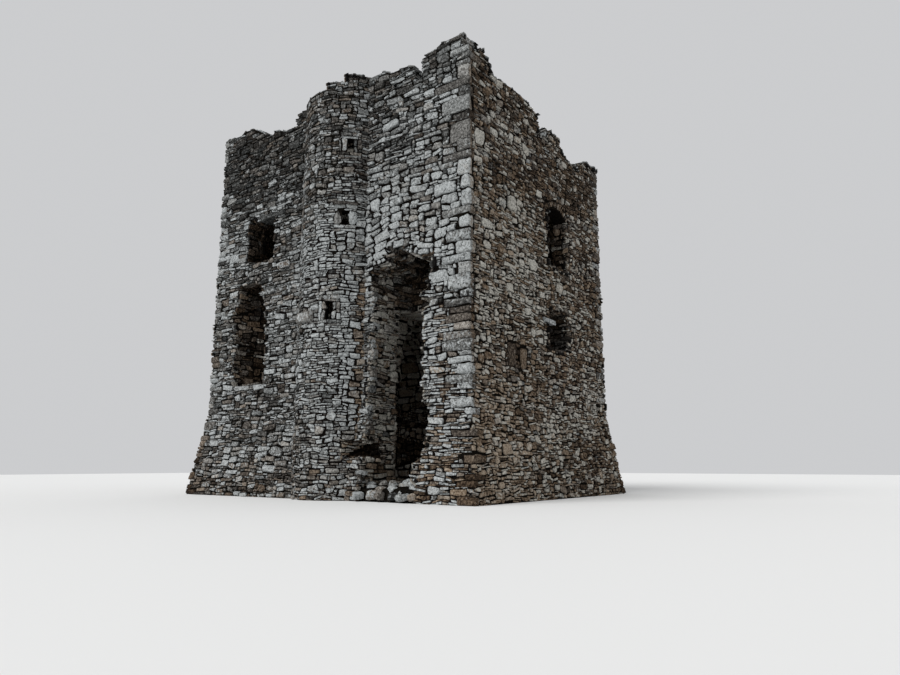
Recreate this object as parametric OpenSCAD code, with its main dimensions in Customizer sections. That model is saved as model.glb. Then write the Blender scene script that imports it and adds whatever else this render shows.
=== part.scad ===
// A ruined stone keep: ground storey, loft, hall and an open roof walk, with a round
// stair turret on the front wall and a tall ragged breach beside the near corner.
// The front wall faces -Y. The origin is at ground level in the middle of the plan.
// Places along a wall are measured from the near corner, where the front and the
// right-hand wall meet. Every height is measured from the ground.

/* [Plan] */
// Length of the front wall above the battered base
keep_w = 10500; // [9800:50:12500]
// Depth from the front face to the back face above the battered base
keep_d = 7950; // [7500:50:9500]
// How far the battered base stands out at ground level
batter_out = 400; // [100:10:600]
// Height of the battered base
batter_h = 2650; // [1500:50:3200]

/* [Storeys] */
// Height of the ground floor slab
floor_t = 200; // [100:10:300]
// Level of the ledge that carried the timber loft, now lost
loft_z = 3400; // [3300:50:3500]
// Level of the hall floor, on top of the lower vault
hall_z = 6400; // [6350:10:6500]
// Level of the roof walk, on top of the upper vault
walk_z = 10600; // [10500:50:11000]

/* [Wall thickness] */
// Front wall in the ground storey
front_ground_t = 1900; // [1850:50:2200]
// Front wall above the ground storey, where it holds the stair well
front_upper_t = 1700; // [1650:50:1800]
// Side and back walls in the ground storey
ground_t = 1700; // [1600:50:1900]
// Side and back walls beside the loft
loft_t = 1500; // [1400:50:1550]
// Side and back walls beside the hall
hall_t = 1300; // [1100:50:1350]
// Parapet walls
parapet_t = 600; // [450:50:750]

/* [Stair turret] */
// Distance of the turret axis from the near corner
turret_s = 4800; // [4700:50:5200]
// Distance of the turret axis behind the front face
turret_in = 500; // [300:50:600]
// Outer radius of the turret
turret_r = 1350; // [1250:25:1400]
// Radius of the stair well
well_r = 850; // [700:25:900]
// Height of the turret wall above the roof walk
turret_rise = 1700; // [1600:50:1900]
// Width of the doorways out of the stair well
stair_door_w = 700; // [550:25:750]
// Height of the doorways out of the stair well
stair_door_h = 1800; // [1600:50:1950]

/* [Turret slits] */
// Width of a slit at its outer face
slit_w = 165; // [120:5:220]
// Width of a slit at the stair well
slit_in_w = 400; // [300:10:450]
// Width of the dressed stones round a slit
slit_frame_w = 620; // [560:10:700]
// Height of the lintel and of the sill of a slit
slit_stone_h = 170; // [120:5:220]
// Depth of the dressed stones from the turret face
slit_frame_d = 260; // [200:10:320]
// Heading of the low slit, from straight ahead towards the near corner
low_slit_turn = 25; // [15:1:35]
// Sill level of the low slit
low_slit_z = 4870; // [4600:10:5100]
// Height of the low slit
low_slit_h = 530; // [400:10:600]
// Heading of the middle slit
mid_slit_turn = 41; // [30:1:45]
// Sill level of the middle slit
mid_slit_z = 7620; // [7400:10:7900]
// Height of the middle slit
mid_slit_h = 420; // [350:10:500]
// Heading of the high slit
high_slit_turn = 45; // [35:1:48]
// Sill level of the high slit
high_slit_z = 9840; // [9600:10:9900]
// Height of the high slit
high_slit_h = 410; // [300:10:450]
// Length of the hood slab over the middle slit
hood_l = 700; // [650:10:800]
// Thickness of the hood slab
hood_t = 75; // [50:5:100]
// How far the hood slab stands out from the turret
hood_out = 100; // [60:10:150]

/* [Breach] */
// Width of the pier left between the near corner and the breach
pier_w = 1300; // [1200:10:1400]
// Width of the wall left between the breach and the turret
jamb_w = 100; // [60:10:200]
// Highest point of the breach
breach_top = 6850; // [6700:10:7100]
// Height of the rubble in the foot of the breach
rubble_h = 420; // [300:10:500]
// How far the rubble runs out in front of the wall
rubble_out = 350; // [200:10:400]

/* [Front openings] */
// Distance of the hall window from the near corner
hall_win_s = 7550; // [7500:10:7800]
// Width of the hall window
hall_win_w = 1410; // [1200:10:1500]
// Sill level of the hall window
hall_win_z = 7450; // [7350:10:7600]
// Height of the hall window
hall_win_h = 1400; // [1200:10:1450]
// Length of the thin lintel slab that is left over the hall window
lintel_l = 1250; // [1150:10:1350]
// Thickness of the lintel slab
lintel_t = 130; // [90:5:180]
// Depth of the lintel slab in the wall
lintel_d = 520; // [400:10:700]
// How far the lintel slab stands out from the wall
lintel_out = 70; // [40:5:120]
// Distance of the ragged loft opening from the near corner
gap_s = 7760; // [7600:10:7900]
// Width of the ragged loft opening
gap_w = 1700; // [1500:10:1750]

/* [Right wall openings] */
// Distance of the tall window from the near corner
tall_win_s = 4180; // [4000:10:4400]
// Width of the tall window
tall_win_w = 1300; // [1000:10:1350]
// Sill level of the tall window
tall_win_z = 6880; // [6850:10:7100]
// Height of the tall window up to the springing of its arch
tall_win_h = 1710; // [1600:10:1850]
// How far a window widens on each side towards the room
window_widen = 300; // [200:10:320]
// Rise of the segmental arches
arch_rise = 250; // [150:10:280]
// Height of the arch stones
arch_t = 260; // [200:10:300]
// Depth of the arch stones from the wall face
arch_d = 420; // [300:10:500]
// Distance of the ragged side opening from the near corner
hole_s = 4060; // [3950:10:4300]
// Width of the ragged side opening
hole_w = 1390; // [1200:10:1450]
// Sill level of the ragged side opening
hole_z = 4350; // [4250:10:4450]
// Distance of the blocked slit's middle from the near corner
blocked_s = 2260; // [2230:10:2400]
// Sill level of the blocked slit
blocked_z = 3600; // [3560:10:3700]

/* [Parapets] */
// Height of the corner merlon above the roof walk
merlon_h = 1800; // [1500:50:1900]
// Length of the corner merlon along the front wall
merlon_front = 1520; // [1500:10:1700]
// Length of the corner merlon along the right-hand wall
merlon_side = 1050; // [950:10:1150]
// Height of the front parapet above the roof walk
front_rise = 1600; // [1300:50:1700]
// Height of the right-hand parapet above the roof walk
side_rise = 1150; // [1000:50:1300]
// Height of the worn end of the right-hand parapet
worn_rise = 700; // [600:50:800]
// Height of the back and left-hand parapets
back_rise = 1250; // [1000:50:1400]
// Distance from the near corner to the step in the right-hand parapet
step_s = 3700; // [3500:10:3900]

/* [Vaults] */
// Height of the lower vault's springing above the loft ledge
spring_h = 350; // [250:10:400]
// Rise of the lower vault
lower_rise = 2100; // [1800:10:2150]
// Ledge that carries the upper vault, cut into the hall walls
seat_w = 200; // [150:10:250]
// Springing level of the upper vault
upper_spring_z = 9150; // [9100:10:9200]
// Rise of the upper vault
upper_rise = 1050; // [900:10:1150]

/* [Hidden] */
$fn = 240;

// Colours of the lichened front, the darker sides and the dressed stones.
front_grey = "#a7a59c";
side_brown = "#7d746a";
dressed = "#b9b7ae";
floor_grey = "#8c8a82";

// Room left past a face that a cut goes through.
over = 50;
// Unit in which the ragged edges and the worn wall tops are set out.
unit = 50;
// Rise of the rear arches of the windows.
rear_rise = arch_rise + unit;
// Height of the ways through the haunch of the lower vault, above the loft ledge.
passage_h = 2000;
// Faces of the keep above its battered base, and where the turret and the breach lie.
right_x = keep_w / 2;
left_x = -keep_w / 2;
front_y = -keep_d / 2;
back_y = keep_d / 2;
turret_x = right_x - turret_s;
turret_y = front_y + turret_in;
turret_left_s = turret_s + turret_r;
turret_right_s = turret_s - turret_r;
breach_near_s = pier_w;
breach_far_s = turret_right_s - jamb_w;
breach_s = (breach_near_s + breach_far_s) / 2;

// Each wall has its own frame: s runs along it, d is the depth into it, z is up.
// Along the front, s runs from the near corner to the left.
module on_front() {
    translate([right_x, front_y, 0])
        mirror([1, 0, 0])
            children();
}

// Along the right-hand wall, s runs from the near corner to the back.
module on_right() {
    translate([right_x, front_y, 0])
        rotate([0, 0, 90])
            children();
}

// Along the back, s runs from the right-hand corner to the left.
module on_back() {
    translate([right_x, back_y, 0])
        rotate([0, 0, 180])
            children();
}

// Along the left-hand wall, s runs from the front corner to the back.
module on_left() {
    translate([left_x, front_y, 0])
        mirror([1, 0, 0])
            rotate([0, 0, 90])
                children();
}

// Turned about the turret axis: d is measured in from the turret's face.
module on_turret(turn) {
    translate([turret_x, turret_y, 0])
        rotate([0, 0, turn])
            translate([0, -turret_r, 0])
                children();
}

module block(s0, s1, d0, d1, z0, z1) {
    translate([s0, d0, z0])
        cube([s1 - s0, d1 - d0, z1 - z0]);
}

// An outline in s and z, cut or built through the depths d0 to d1.
module through(outline, d0, d1) {
    translate([0, d1, 0])
        rotate([90, 0, 0])
            linear_extrude(height = d1 - d0)
                polygon(outline);
}

// An outline in s and z that widens from out_s at the face to in_s at depth t.
module splayed(outline, out_s, in_s, t) {
    intersection() {
        through(outline, -batter_out - over, t + over);
        linear_extrude(height = walk_z)
            polygon([
                [out_s[0], -batter_out - over], [out_s[1], -batter_out - over],
                [out_s[1], 0], [in_s[1], t], [in_s[1], t + over],
                [in_s[0], t + over], [in_s[0], t], [out_s[0], 0]
            ]);
    }
}

// Inner part of a window: it widens from depth d0 to the room face at t, under a
// rear arch that is higher than the outer head.
module embrasure(s0, s1, z0, z1, d0, t) {
    in0 = s0 - window_widen;
    in1 = s1 + window_widen;
    intersection() {
        through(concat([[in0, z0], [in1, z0]], arc_points(in0, in1, z1, rear_rise)), d0, t + over);
        linear_extrude(height = walk_z)
            polygon([[s0, d0], [s1, d0], [in1, t], [in1, t + over], [in0, t + over], [in0, t]]);
    }
}

function rect(s0, s1, z0, z1) = [[s0, z0], [s1, z0], [s1, z1], [s0, z1]];

// Points of a segmental arch over a span, from its far end back to its near end.
function arc_radius(span, rise) = (span * span / 4 + rise * rise) / (2 * rise);
function arc_points(s0, s1, z, rise, grow = 0, steps = 12) =
    let (
        r = arc_radius(s1 - s0, rise),
        half = asin((s1 - s0) / 2 / r)
    )
    [for (i = [0 : steps])
        let (a = half - 2 * half * i / steps)
        [(s0 + s1) / 2 + (r + grow) * sin(a), z + rise - r + (r + grow) * cos(a)]];

// The upper outline of a ruined wall: heights at distances along it, held level
// past both ends so that it covers walls of any length.
module ragged_top(points, z0, t) {
    far = keep_w + keep_d;
    first = points[0];
    last = points[len(points) - 1];
    through(concat([[-far, z0], [-far, first[1]]], points, [[far, last[1]], [far, z0]]), -over, t + over);
}

// Outside of the walls: upright faces over a base that slopes out on all four sides.
module envelope() {
    function side(half) = [
        [-half - batter_out, 0], [half + batter_out, 0], [half, batter_h], [half, loft_z],
        [-half, loft_z], [-half, batter_h]
    ];
    intersection() {
        translate([0, back_y + batter_out, 0])
            rotate([90, 0, 0])
                linear_extrude(height = keep_d + 2 * batter_out)
                    polygon(side(keep_w / 2));
        translate([left_x - batter_out, 0, 0])
            rotate([90, 0, 90])
                linear_extrude(height = keep_w + 2 * batter_out)
                    polygon(side(keep_d / 2));
    }
}

// The whole turret: round in front and square behind, where it is part of the wall.
module turret_mass(z0, z1, t) {
    intersection() {
        union() {
            translate([turret_x, turret_y, z0])
                cylinder(r = turret_r, h = z1 - z0);
            translate([turret_x - turret_r, turret_y, z0])
                cube([2 * turret_r, t, z1 - z0]);
        }
        on_front()
            block(turret_right_s, turret_left_s, -turret_r, t, z0, z1);
    }
}

module turret_well(z0, z1) {
    translate([turret_x, turret_y, z0])
        cylinder(r = well_r, h = z1 - z0);
}

// Doorway from the stair well into the keep.
module stair_door(z0) {
    translate([turret_x - stair_door_w / 2, turret_y, z0])
        cube([stair_door_w, front_ground_t - turret_in + over, stair_door_h]);
}

// Hollow low in the left side of the breach, where facing stones have fallen out.
hollow_in = 500;
hollow_d = 700;
hollow_z = 1100;
hollow_h = 480;
module jamb_hollow() {
    near = breach_far_s - 6 * unit;
    far = breach_far_s + hollow_in;
    on_front()
        block(near, far, -batter_out - over, hollow_d, hollow_z, hollow_z + hollow_h);
}

// Square socket that held a scaffold pole, in a wall's own frame.
putlog_w = 150;
putlog_d = 400;
putlog_s = 1200;
module putlog(s, z) {
    block(s, s + putlog_w, -over, putlog_d, z, z + putlog_w);
}

// The breach: an upright gap with broken sides and a ragged head.
module breach_cut() {
    near = breach_near_s;
    far = breach_far_s;
    top = breach_top;
    outline = [
        [near + unit, -over], [near + unit, 9 * unit], [near + 5 * unit, 11 * unit],
        [near + 5 * unit, 19 * unit], [near, 21 * unit], [near - 3 * unit, 30 * unit],
        [near - 3 * unit, 49 * unit], [near + 2 * unit, 50 * unit],
        [near + 2 * unit, top - 38 * unit], [near - 3 * unit, top - 37 * unit],
        [near - 3 * unit, top - 33 * unit], [near + 4 * unit, top - 32 * unit],
        [near + 4 * unit, top - 29 * unit], [near, top - 27 * unit],
        [near - unit, top - 20 * unit], [near - 4 * unit, top - 17 * unit],
        [near - 4 * unit, top - 8 * unit], [near + 6 * unit, top - 8 * unit],
        [breach_s - 5 * unit, top - 4 * unit], [breach_s - 4 * unit, top],
        [breach_s + 5 * unit, top], [breach_s + 6 * unit, top - 4 * unit],
        [far - 11 * unit, top - 4 * unit], [far - 10 * unit, top - 8 * unit],
        [far - 2 * unit, top - 9 * unit], [far - unit, top - 20 * unit],
        [far - 2 * unit, top - 46 * unit], [far, top - 48 * unit], [far, -over]
    ];
    on_front()
        through(outline, -batter_out - over, front_ground_t + over);
}

// Behind the face the breach widens towards the turret, up to the haunch of the vault.
splay_d = 1050;
splay_w = 750;
module breach_splay() {
    far = breach_far_s;
    on_front()
        translate([0, 0, floor_t])
            linear_extrude(height = loft_z + passage_h - floor_t)
                polygon([
                    [breach_s, splay_d], [far, splay_d], [far + splay_w, front_ground_t],
                    [far + splay_w, front_ground_t + over], [breach_s, front_ground_t + over]
                ]);
}

module front_wall(s0, s1, t, z0, z1) {
    on_front()
        block(s0, s1, -batter_out, t, z0, z1);
}

// Room in the front wall for the turret.
module turret_room(z0, z1) {
    turret_mass(z0, z1, front_ground_t + over);
}

// Where the loft wall on the right of the ragged opening gives way to that on its left.
gap_split_s = gap_s + 8 * unit;

// Ragged opening low in the front wall, left of the turret.
module gap_cut() {
    near = gap_s;
    far = gap_s + gap_w;
    outline = [
        [near, loft_z], [near, loft_z + 38 * unit], [near + 2 * unit, loft_z + 50 * unit],
        [near + 5 * unit, hall_z - unit], [near + 8 * unit, hall_z + 6 * unit],
        [far - 17 * unit, hall_z + 8 * unit], [far - 7 * unit, hall_z + 7 * unit],
        [far - 5 * unit, hall_z - 4 * unit], [far, hall_z - 12 * unit],
        [far, loft_z + 36 * unit], [far - 4 * unit, loft_z + 28 * unit],
        [far - unit, loft_z + 16 * unit], [far - 3 * unit, loft_z]
    ];
    on_front()
        splayed(outline, [near, far], [near - 5 * unit, keep_w - loft_t - 2 * unit], front_upper_t);
}

module hall_window_cut() {
    near = hall_win_s;
    far = hall_win_s + hall_win_w;
    top = hall_win_z + hall_win_h;
    outline = [
        [near, hall_win_z], [near, top], [far - 9 * unit, top], [far - 5 * unit, top + 3 * unit],
        [far - unit, top + unit], [far, top - 2 * unit], [far, hall_win_z + 2 * unit],
        [far - 10 * unit, hall_win_z - unit]
    ];
    on_front() {
        through(outline, -over, lintel_d);
        embrasure(near, far - unit, hall_win_z, top - 2 * unit, lintel_d, front_upper_t);
    }
}

// The slab left over the near half of the hall window.
module hall_window_slab() {
    near = hall_win_s - 8 * unit;
    top = hall_win_z + hall_win_h;
    on_front()
        block(near, near + lintel_l, -lintel_out, lintel_d, top, top + lintel_t);
}

// Flat stones that are left standing out beside the heads of the ragged openings.
slab_t = 130;
slab_l = 680;
slab_d = 480;
slab_out = 100;
module gap_slab() {
    near = gap_s - 7 * unit;
    z = hall_z - slab_t;
    on_front()
        block(near, near + slab_l, -slab_out, slab_d, z, z + slab_t);
}

// A stone that stands out low on the turret's face, left of the low slit.
ledge_turn = -12;
ledge_l = 700;
ledge_h = 300;
ledge_d = 350;
ledge_z = 4880;
ledge_out = 100;
module ledge_stone() {
    on_turret(ledge_turn)
        block(-ledge_l / 2, ledge_l / 2, -ledge_out, ledge_d, ledge_z, ledge_z + ledge_h);
}

// Dressed stones round a slit, and the pocket in the turret that they fill.
module slit_block(turn, z, h) {
    half = slit_frame_w / 2;
    on_turret(turn)
        block(-half, half, -over, slit_frame_d, z - slit_stone_h, z + h + slit_stone_h);
}

// The slit itself, widening towards the stair well.
module slit_hole(turn, z, h) {
    on_turret(turn)
        translate([0, 0, z])
            linear_extrude(height = h)
                polygon([
                    [-slit_w / 2, -2 * over], [slit_w / 2, -2 * over],
                    [slit_in_w / 2, turret_r - well_r / 2], [-slit_in_w / 2, turret_r - well_r / 2]
                ]);
}

module slit_frame(turn, z, h) {
    difference() {
        intersection() {
            slit_block(turn, z, h);
            translate([turret_x, turret_y, z - slit_stone_h])
                cylinder(r = turret_r, h = h + 2 * slit_stone_h);
        }
        slit_hole(turn, z, h);
    }
}

module hood_slab() {
    z = mid_slit_z + mid_slit_h + slit_stone_h;
    on_turret(mid_slit_turn)
        block(-hood_l / 2, hood_l / 2, -hood_out, slit_frame_d, z, z + hood_t);
}

module front_wall_ground() {
    color(front_grey)
        difference() {
            intersection() {
                envelope();
                front_wall(turret_s, keep_w + batter_out, front_ground_t, 0, loft_z);
            }
            turret_room(-over, loft_z + over);
        }
}

// Loft wall between the turret and the ragged opening.
module front_wall_loft_right() {
    color(front_grey)
        difference() {
            on_front()
                block(turret_s, gap_split_s, 0, front_upper_t, loft_z, hall_z);
            turret_room(loft_z - over, hall_z + over);
            gap_cut();
            gap_slab();
        }
}

// Loft wall between the ragged opening and the far corner.
module front_wall_loft_left() {
    color(front_grey)
        difference() {
            on_front()
                block(gap_split_s, keep_w, 0, front_upper_t, loft_z, hall_z);
            gap_cut();
        }
}

module front_wall_hall() {
    color(front_grey)
        difference() {
            on_front()
                block(turret_s, keep_w, 0, front_upper_t, hall_z, walk_z);
            turret_room(hall_z - over, walk_z + over);
            gap_cut();
            hall_window_cut();
            hall_window_slab();
            vault_seat();
        }
}

module breach_left_jamb() {
    color(front_grey)
        difference() {
            union() {
                intersection() {
                    envelope();
                    front_wall(breach_s, turret_s, front_ground_t, 0, loft_z);
                }
                on_front()
                    block(breach_s, turret_s, 0, front_upper_t, loft_z, hall_z);
            }
            turret_room(-over, hall_z + over);
            breach_cut();
            breach_splay();
            jamb_hollow();
        }
}

module corner_pier() {
    color(front_grey)
        difference() {
            union() {
                intersection() {
                    envelope();
                    front_wall(-batter_out, breach_s, front_ground_t, 0, loft_z);
                }
                on_front()
                    block(0, breach_s, 0, front_upper_t, loft_z, hall_z);
            }
            breach_cut();
            blocked_block();
        }
}

module wall_over_breach() {
    color(front_grey)
        difference() {
            on_front()
                block(0, turret_s, 0, front_upper_t, hall_z, walk_z);
            turret_room(hall_z - over, walk_z + over);
            breach_cut();
            vault_seat();
            on_right()
                putlog(putlog_s, upper_spring_z - 3 * unit);
        }
}

// Fallen stone heaped in the foot of the breach.
module breach_rubble() {
    color(dressed)
        intersection() {
            breach_cut();
            translate([turret_x, 0, 0])
                rotate([90, 0, 90])
                    linear_extrude(height = turret_s)
                        polygon([
                            [front_y - rubble_out, 0],
                            [front_y - rubble_out + 2 * unit, rubble_h - 2 * unit],
                            [front_y + 2 * unit, rubble_h], [front_y + 14 * unit, rubble_h - unit],
                            [front_y + 26 * unit, floor_t], [front_y + front_ground_t, floor_t],
                            [front_y + front_ground_t, 0]
                        ]);
        }
}

module stair_turret_ground() {
    color(front_grey)
        difference() {
            turret_mass(0, loft_z, front_ground_t);
            turret_well(floor_t, loft_z + over);
            stair_door(floor_t);
            breach_splay();
            jamb_hollow();
        }
}

module stair_turret_loft() {
    color(front_grey)
        difference() {
            turret_mass(loft_z, hall_z, front_upper_t);
            turret_well(loft_z - over, hall_z + over);
            stair_door(loft_z);
            breach_splay();
            slit_block(low_slit_turn, low_slit_z, low_slit_h);
            slit_hole(low_slit_turn, low_slit_z, low_slit_h);
            ledge_stone();
        }
}

module stair_turret_hall() {
    color(front_grey)
        difference() {
            turret_mass(hall_z, walk_z, front_upper_t);
            turret_well(hall_z - over, walk_z + over);
            stair_door(hall_z);
            slit_block(mid_slit_turn, mid_slit_z, mid_slit_h);
            slit_hole(mid_slit_turn, mid_slit_z, mid_slit_h);
            hood_slab();
            slit_block(high_slit_turn, high_slit_z, high_slit_h);
            slit_hole(high_slit_turn, high_slit_z, high_slit_h);
            vault_seat();
        }
}

// The open head of the turret, with the doorway onto the roof walk. It is worn down
// in steps to the left and the front.
module stair_turret_top() {
    top = walk_z + turret_rise;
    color(front_grey)
        difference() {
            translate([turret_x, turret_y, walk_z])
                cylinder(r = turret_r, h = turret_rise);
            turret_well(walk_z - over, top + over);
            translate([turret_x - stair_door_w / 2, turret_y, walk_z - over])
                cube([stair_door_w, turret_r + over, turret_rise + 2 * over]);
            translate([turret_x - turret_r - over, turret_y - turret_r - over, top - 5 * unit])
                cube([turret_r + 17 * unit, 2 * turret_r + 2 * over, 5 * unit + over]);
            translate([turret_x - turret_r - over, turret_y - turret_r - over, top - 9 * unit])
                cube([turret_r + 7 * unit, turret_r - 6 * unit, 9 * unit + over]);
        }
}

module low_slit() {
    color(dressed)
        slit_frame(low_slit_turn, low_slit_z, low_slit_h);
}

module middle_slit() {
    color(dressed)
        slit_frame(mid_slit_turn, mid_slit_z, mid_slit_h);
}

module middle_slit_hood() {
    color(dressed)
        hood_slab();
}

module high_slit() {
    color(dressed)
        slit_frame(high_slit_turn, high_slit_z, high_slit_h);
}

module turret_ledge() {
    color(dressed)
        ledge_stone();
}

// Tall window with a segmental head, in a wall's own frame.
module tall_window_cut() {
    far = tall_win_s + tall_win_w;
    spring = tall_win_z + tall_win_h;
    outline = concat(
        [[tall_win_s, tall_win_z], [far, tall_win_z]],
        arc_points(tall_win_s, far, spring, arch_rise)
    );
    through(outline, -over, arch_d);
    embrasure(tall_win_s, far, tall_win_z, spring, arch_d, hall_t);
}

// Ring of arch stones over a tall window, in a wall's own frame.
module arch_stones() {
    far = tall_win_s + tall_win_w;
    spring = tall_win_z + tall_win_h;
    inner = arc_points(tall_win_s, far, spring, arch_rise);
    outer = arc_points(tall_win_s, far, spring, arch_rise, arch_t);
    through(concat(inner, [for (i = [len(outer) - 1 : -1 : 0]) outer[i]]), 0, arch_d);
}

// Ragged opening in the right-hand wall, beside the loft.
module hole_cut() {
    near = hole_s;
    far = hole_s + hole_w;
    outline = [
        [near, hole_z], [near, hole_z + 20 * unit], [near + 5 * unit, hole_z + 24 * unit],
        [far - 7 * unit, hole_z + 23 * unit], [far - 2 * unit, hole_z + 18 * unit],
        [far, hole_z + 10 * unit], [far - 3 * unit, hole_z + 7 * unit],
        [far - 2 * unit, hole_z + unit], [near + 10 * unit, hole_z - 2 * unit]
    ];
    through(outline, -over, loft_t + over);
}

// Flat stone that stands out of the near side of the ragged side opening.
module hole_slab() {
    z = hole_z + 14 * unit;
    block(hole_s - 6 * unit, hole_s + 7 * unit, -slab_out, slab_d, z, z + slab_t);
}

// Upright dressed stones round the old slit, and the filling that closes it.
blocked_w = 1040;
blocked_h = 680;
blocked_d = 350;
filling_w = 260;
filling_in = 90;
module blocked_block() {
    z = blocked_z - 2 * unit;
    on_right()
        block(blocked_s - blocked_w / 2, blocked_s + blocked_w / 2, 0, blocked_d, z, z + blocked_h);
}

// A narrow slit through the full thickness of a wall, in a wall's own frame.
wall_slit_h = 700;
module wall_slit(s, z, t) {
    half = window_widen;
    outline = rect(s - half, s + half, z, z + wall_slit_h);
    splayed(outline, [s - slit_w / 2, s + slit_w / 2], [s - half, s + half], t);
}

module right_wall(t, front_t, z0, z1) {
    on_right()
        block(front_t, keep_d - t, -batter_out, t, z0, z1);
}

module right_wall_ground() {
    color(side_brown)
        intersection() {
            envelope();
            right_wall(ground_t, front_ground_t, 0, loft_z);
        }
}

module right_wall_loft() {
    color(side_brown)
        difference() {
            on_right()
                block(front_upper_t, keep_d - loft_t, 0, loft_t, loft_z, hall_z);
            on_right()
                hole_cut();
            on_right()
                hole_slab();
            blocked_block();
        }
}

module right_wall_hall() {
    color(side_brown)
        difference() {
            on_right()
                block(front_upper_t, keep_d - hall_t, 0, hall_t, hall_z, walk_z);
            on_right() {
                tall_window_cut();
                arch_stones();
            }
        }
}

// Slits of the back and left-hand walls, and the back window over the middle one.
ground_slit_z = 1500;
loft_slit_z = loft_z + 14 * unit;
back_slit_s = keep_w / 2;
back_win_s = back_slit_s - hall_win_w / 2;

module back_wall_ground() {
    color(side_brown)
        difference() {
            intersection() {
                envelope();
                on_back()
                    block(-batter_out, keep_w + batter_out, -batter_out, ground_t, 0, loft_z);
            }
            on_back()
                wall_slit(back_slit_s, ground_slit_z, ground_t);
        }
}

module back_wall_loft() {
    color(side_brown)
        difference() {
            on_back()
                block(0, keep_w, 0, loft_t, loft_z, hall_z);
            on_back()
                wall_slit(back_slit_s, loft_slit_z, loft_t);
        }
}

module back_window_cut() {
    far = back_win_s + hall_win_w;
    top = hall_win_z + hall_win_h;
    on_back() {
        through(rect(back_win_s, far, hall_win_z, top), -over, lintel_d);
        embrasure(back_win_s, far, hall_win_z, top - 2 * unit, lintel_d, hall_t);
    }
}

bearing = 200;
module back_lintel() {
    near = back_win_s - bearing;
    top = hall_win_z + hall_win_h;
    on_back()
        block(near, near + hall_win_w + 2 * bearing, -lintel_out, lintel_d, top, top + lintel_t);
}

module back_wall_hall() {
    color(side_brown)
        difference() {
            on_back()
                block(0, keep_w, 0, hall_t, hall_z, walk_z);
            back_window_cut();
            back_lintel();
            vault_seat();
            on_right()
                putlog(keep_d - putlog_s, upper_spring_z - 7 * unit);
        }
}

module left_wall_ground() {
    color(side_brown)
        difference() {
            intersection() {
                envelope();
                on_left()
                    block(front_ground_t, keep_d - ground_t, -batter_out, ground_t, 0, loft_z);
            }
            on_left()
                wall_slit(keep_d / 2, ground_slit_z, ground_t);
        }
}

module left_wall_loft() {
    color(side_brown)
        difference() {
            on_left()
                block(front_upper_t, keep_d - loft_t, 0, loft_t, loft_z, hall_z);
            on_left()
                wall_slit(keep_d / 2, loft_slit_z, loft_t);
        }
}

module left_wall_hall() {
    color(side_brown)
        difference() {
            on_left()
                block(front_upper_t, keep_d - hall_t, 0, hall_t, hall_z, walk_z);
            on_left() {
                tall_window_cut();
                arch_stones();
            }
        }
}

// Ground floor inside the walls.
module ground_floor() {
    color(floor_grey)
        translate([left_x + ground_t, front_y + front_ground_t, 0])
            cube([keep_w - 2 * ground_t, keep_d - front_ground_t - ground_t, floor_t]);
}

// Barrel vault over the ground storey and the loft. Its upper side is the hall floor.
module lower_vault() {
    span = keep_d - front_ground_t - ground_t;
    radius = arc_radius(span, lower_rise);
    axis_y = front_y + front_ground_t + span / 2;
    spring_z = loft_z + spring_h;
    color(floor_grey)
        difference() {
            translate([left_x + loft_t, front_y + front_upper_t, loft_z])
                cube([keep_w - 2 * loft_t, keep_d - front_upper_t - loft_t, hall_z - loft_z]);
            intersection() {
                translate([left_x, axis_y, spring_z + lower_rise - radius])
                    rotate([0, 90, 0])
                        cylinder(r = radius, h = keep_w);
                translate([left_x, axis_y - span / 2, spring_z])
                    cube([keep_w, span, lower_rise + over]);
            }
            translate([left_x, axis_y - span / 2, loft_z - over])
                cube([keep_w, span, spring_h + over]);
            vault_door(turret_s - stair_door_w / 2, turret_s + stair_door_w / 2, stair_door_h);
            vault_door(gap_s - 5 * unit, keep_w - loft_t - 2 * unit, passage_h);
            vault_door(breach_near_s, breach_far_s + splay_w - 4 * unit, passage_h);
            on_back()
                block(
                    back_slit_s - window_widen, back_slit_s + window_widen, loft_t - over, keep_d / 2,
                    loft_slit_z, loft_slit_z + wall_slit_h
                );
        }
}

// Way through the front haunch of the lower vault, from the loft ledge up.
module vault_door(s0, s1, h) {
    on_front()
        block(s0, s1, front_upper_t - over, keep_d / 2, loft_z - over, loft_z + h);
}

// Recess in the hall walls where the upper vault springs.
module vault_seat() {
    room_w = keep_w - 2 * hall_t;
    room_d = keep_d - front_upper_t - hall_t;
    translate([left_x + hall_t, front_y + front_upper_t - seat_w, upper_spring_z])
        cube([room_w, room_d + 2 * seat_w, walk_z - upper_spring_z + over]);
}

// Shallow vault over the hall. Its upper side is level with the roof walk.
module upper_vault() {
    span = keep_d - front_upper_t - hall_t;
    radius = arc_radius(span, upper_rise);
    axis_y = front_y + front_upper_t + span / 2;
    color(floor_grey)
        difference() {
            translate([left_x + hall_t, front_y + front_upper_t - seat_w, upper_spring_z])
                cube([keep_w - 2 * hall_t, span + 2 * seat_w, walk_z - upper_spring_z]);
            translate([left_x, axis_y, upper_spring_z + upper_rise - radius])
                rotate([0, 90, 0])
                    cylinder(r = radius, h = keep_w, $fn = 192);
        }
}

// Parapet of the front wall, left of the turret.
module front_parapet_left() {
    top = walk_z + front_rise;
    color(front_grey)
        difference() {
            on_front()
                intersection() {
                    block(turret_s, keep_w, 0, parapet_t, walk_z, top + 6 * unit);
                    ragged_top([
                        [134 * unit, top - unit], [135 * unit, top - 9 * unit],
                        [145 * unit, top - 10 * unit], [152 * unit, top - 7 * unit],
                        [158 * unit, top - 6 * unit], [159 * unit, top - 9 * unit],
                        [167 * unit, top - 5 * unit], [175 * unit, top],
                        [181 * unit, top + 3 * unit], [191 * unit, top + 4 * unit],
                        [194 * unit, top + 2 * unit], [206 * unit, top + 3 * unit]
                    ], walk_z, parapet_t);
                }
            turret_room(walk_z - over, top + 6 * unit);
        }
}

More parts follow.
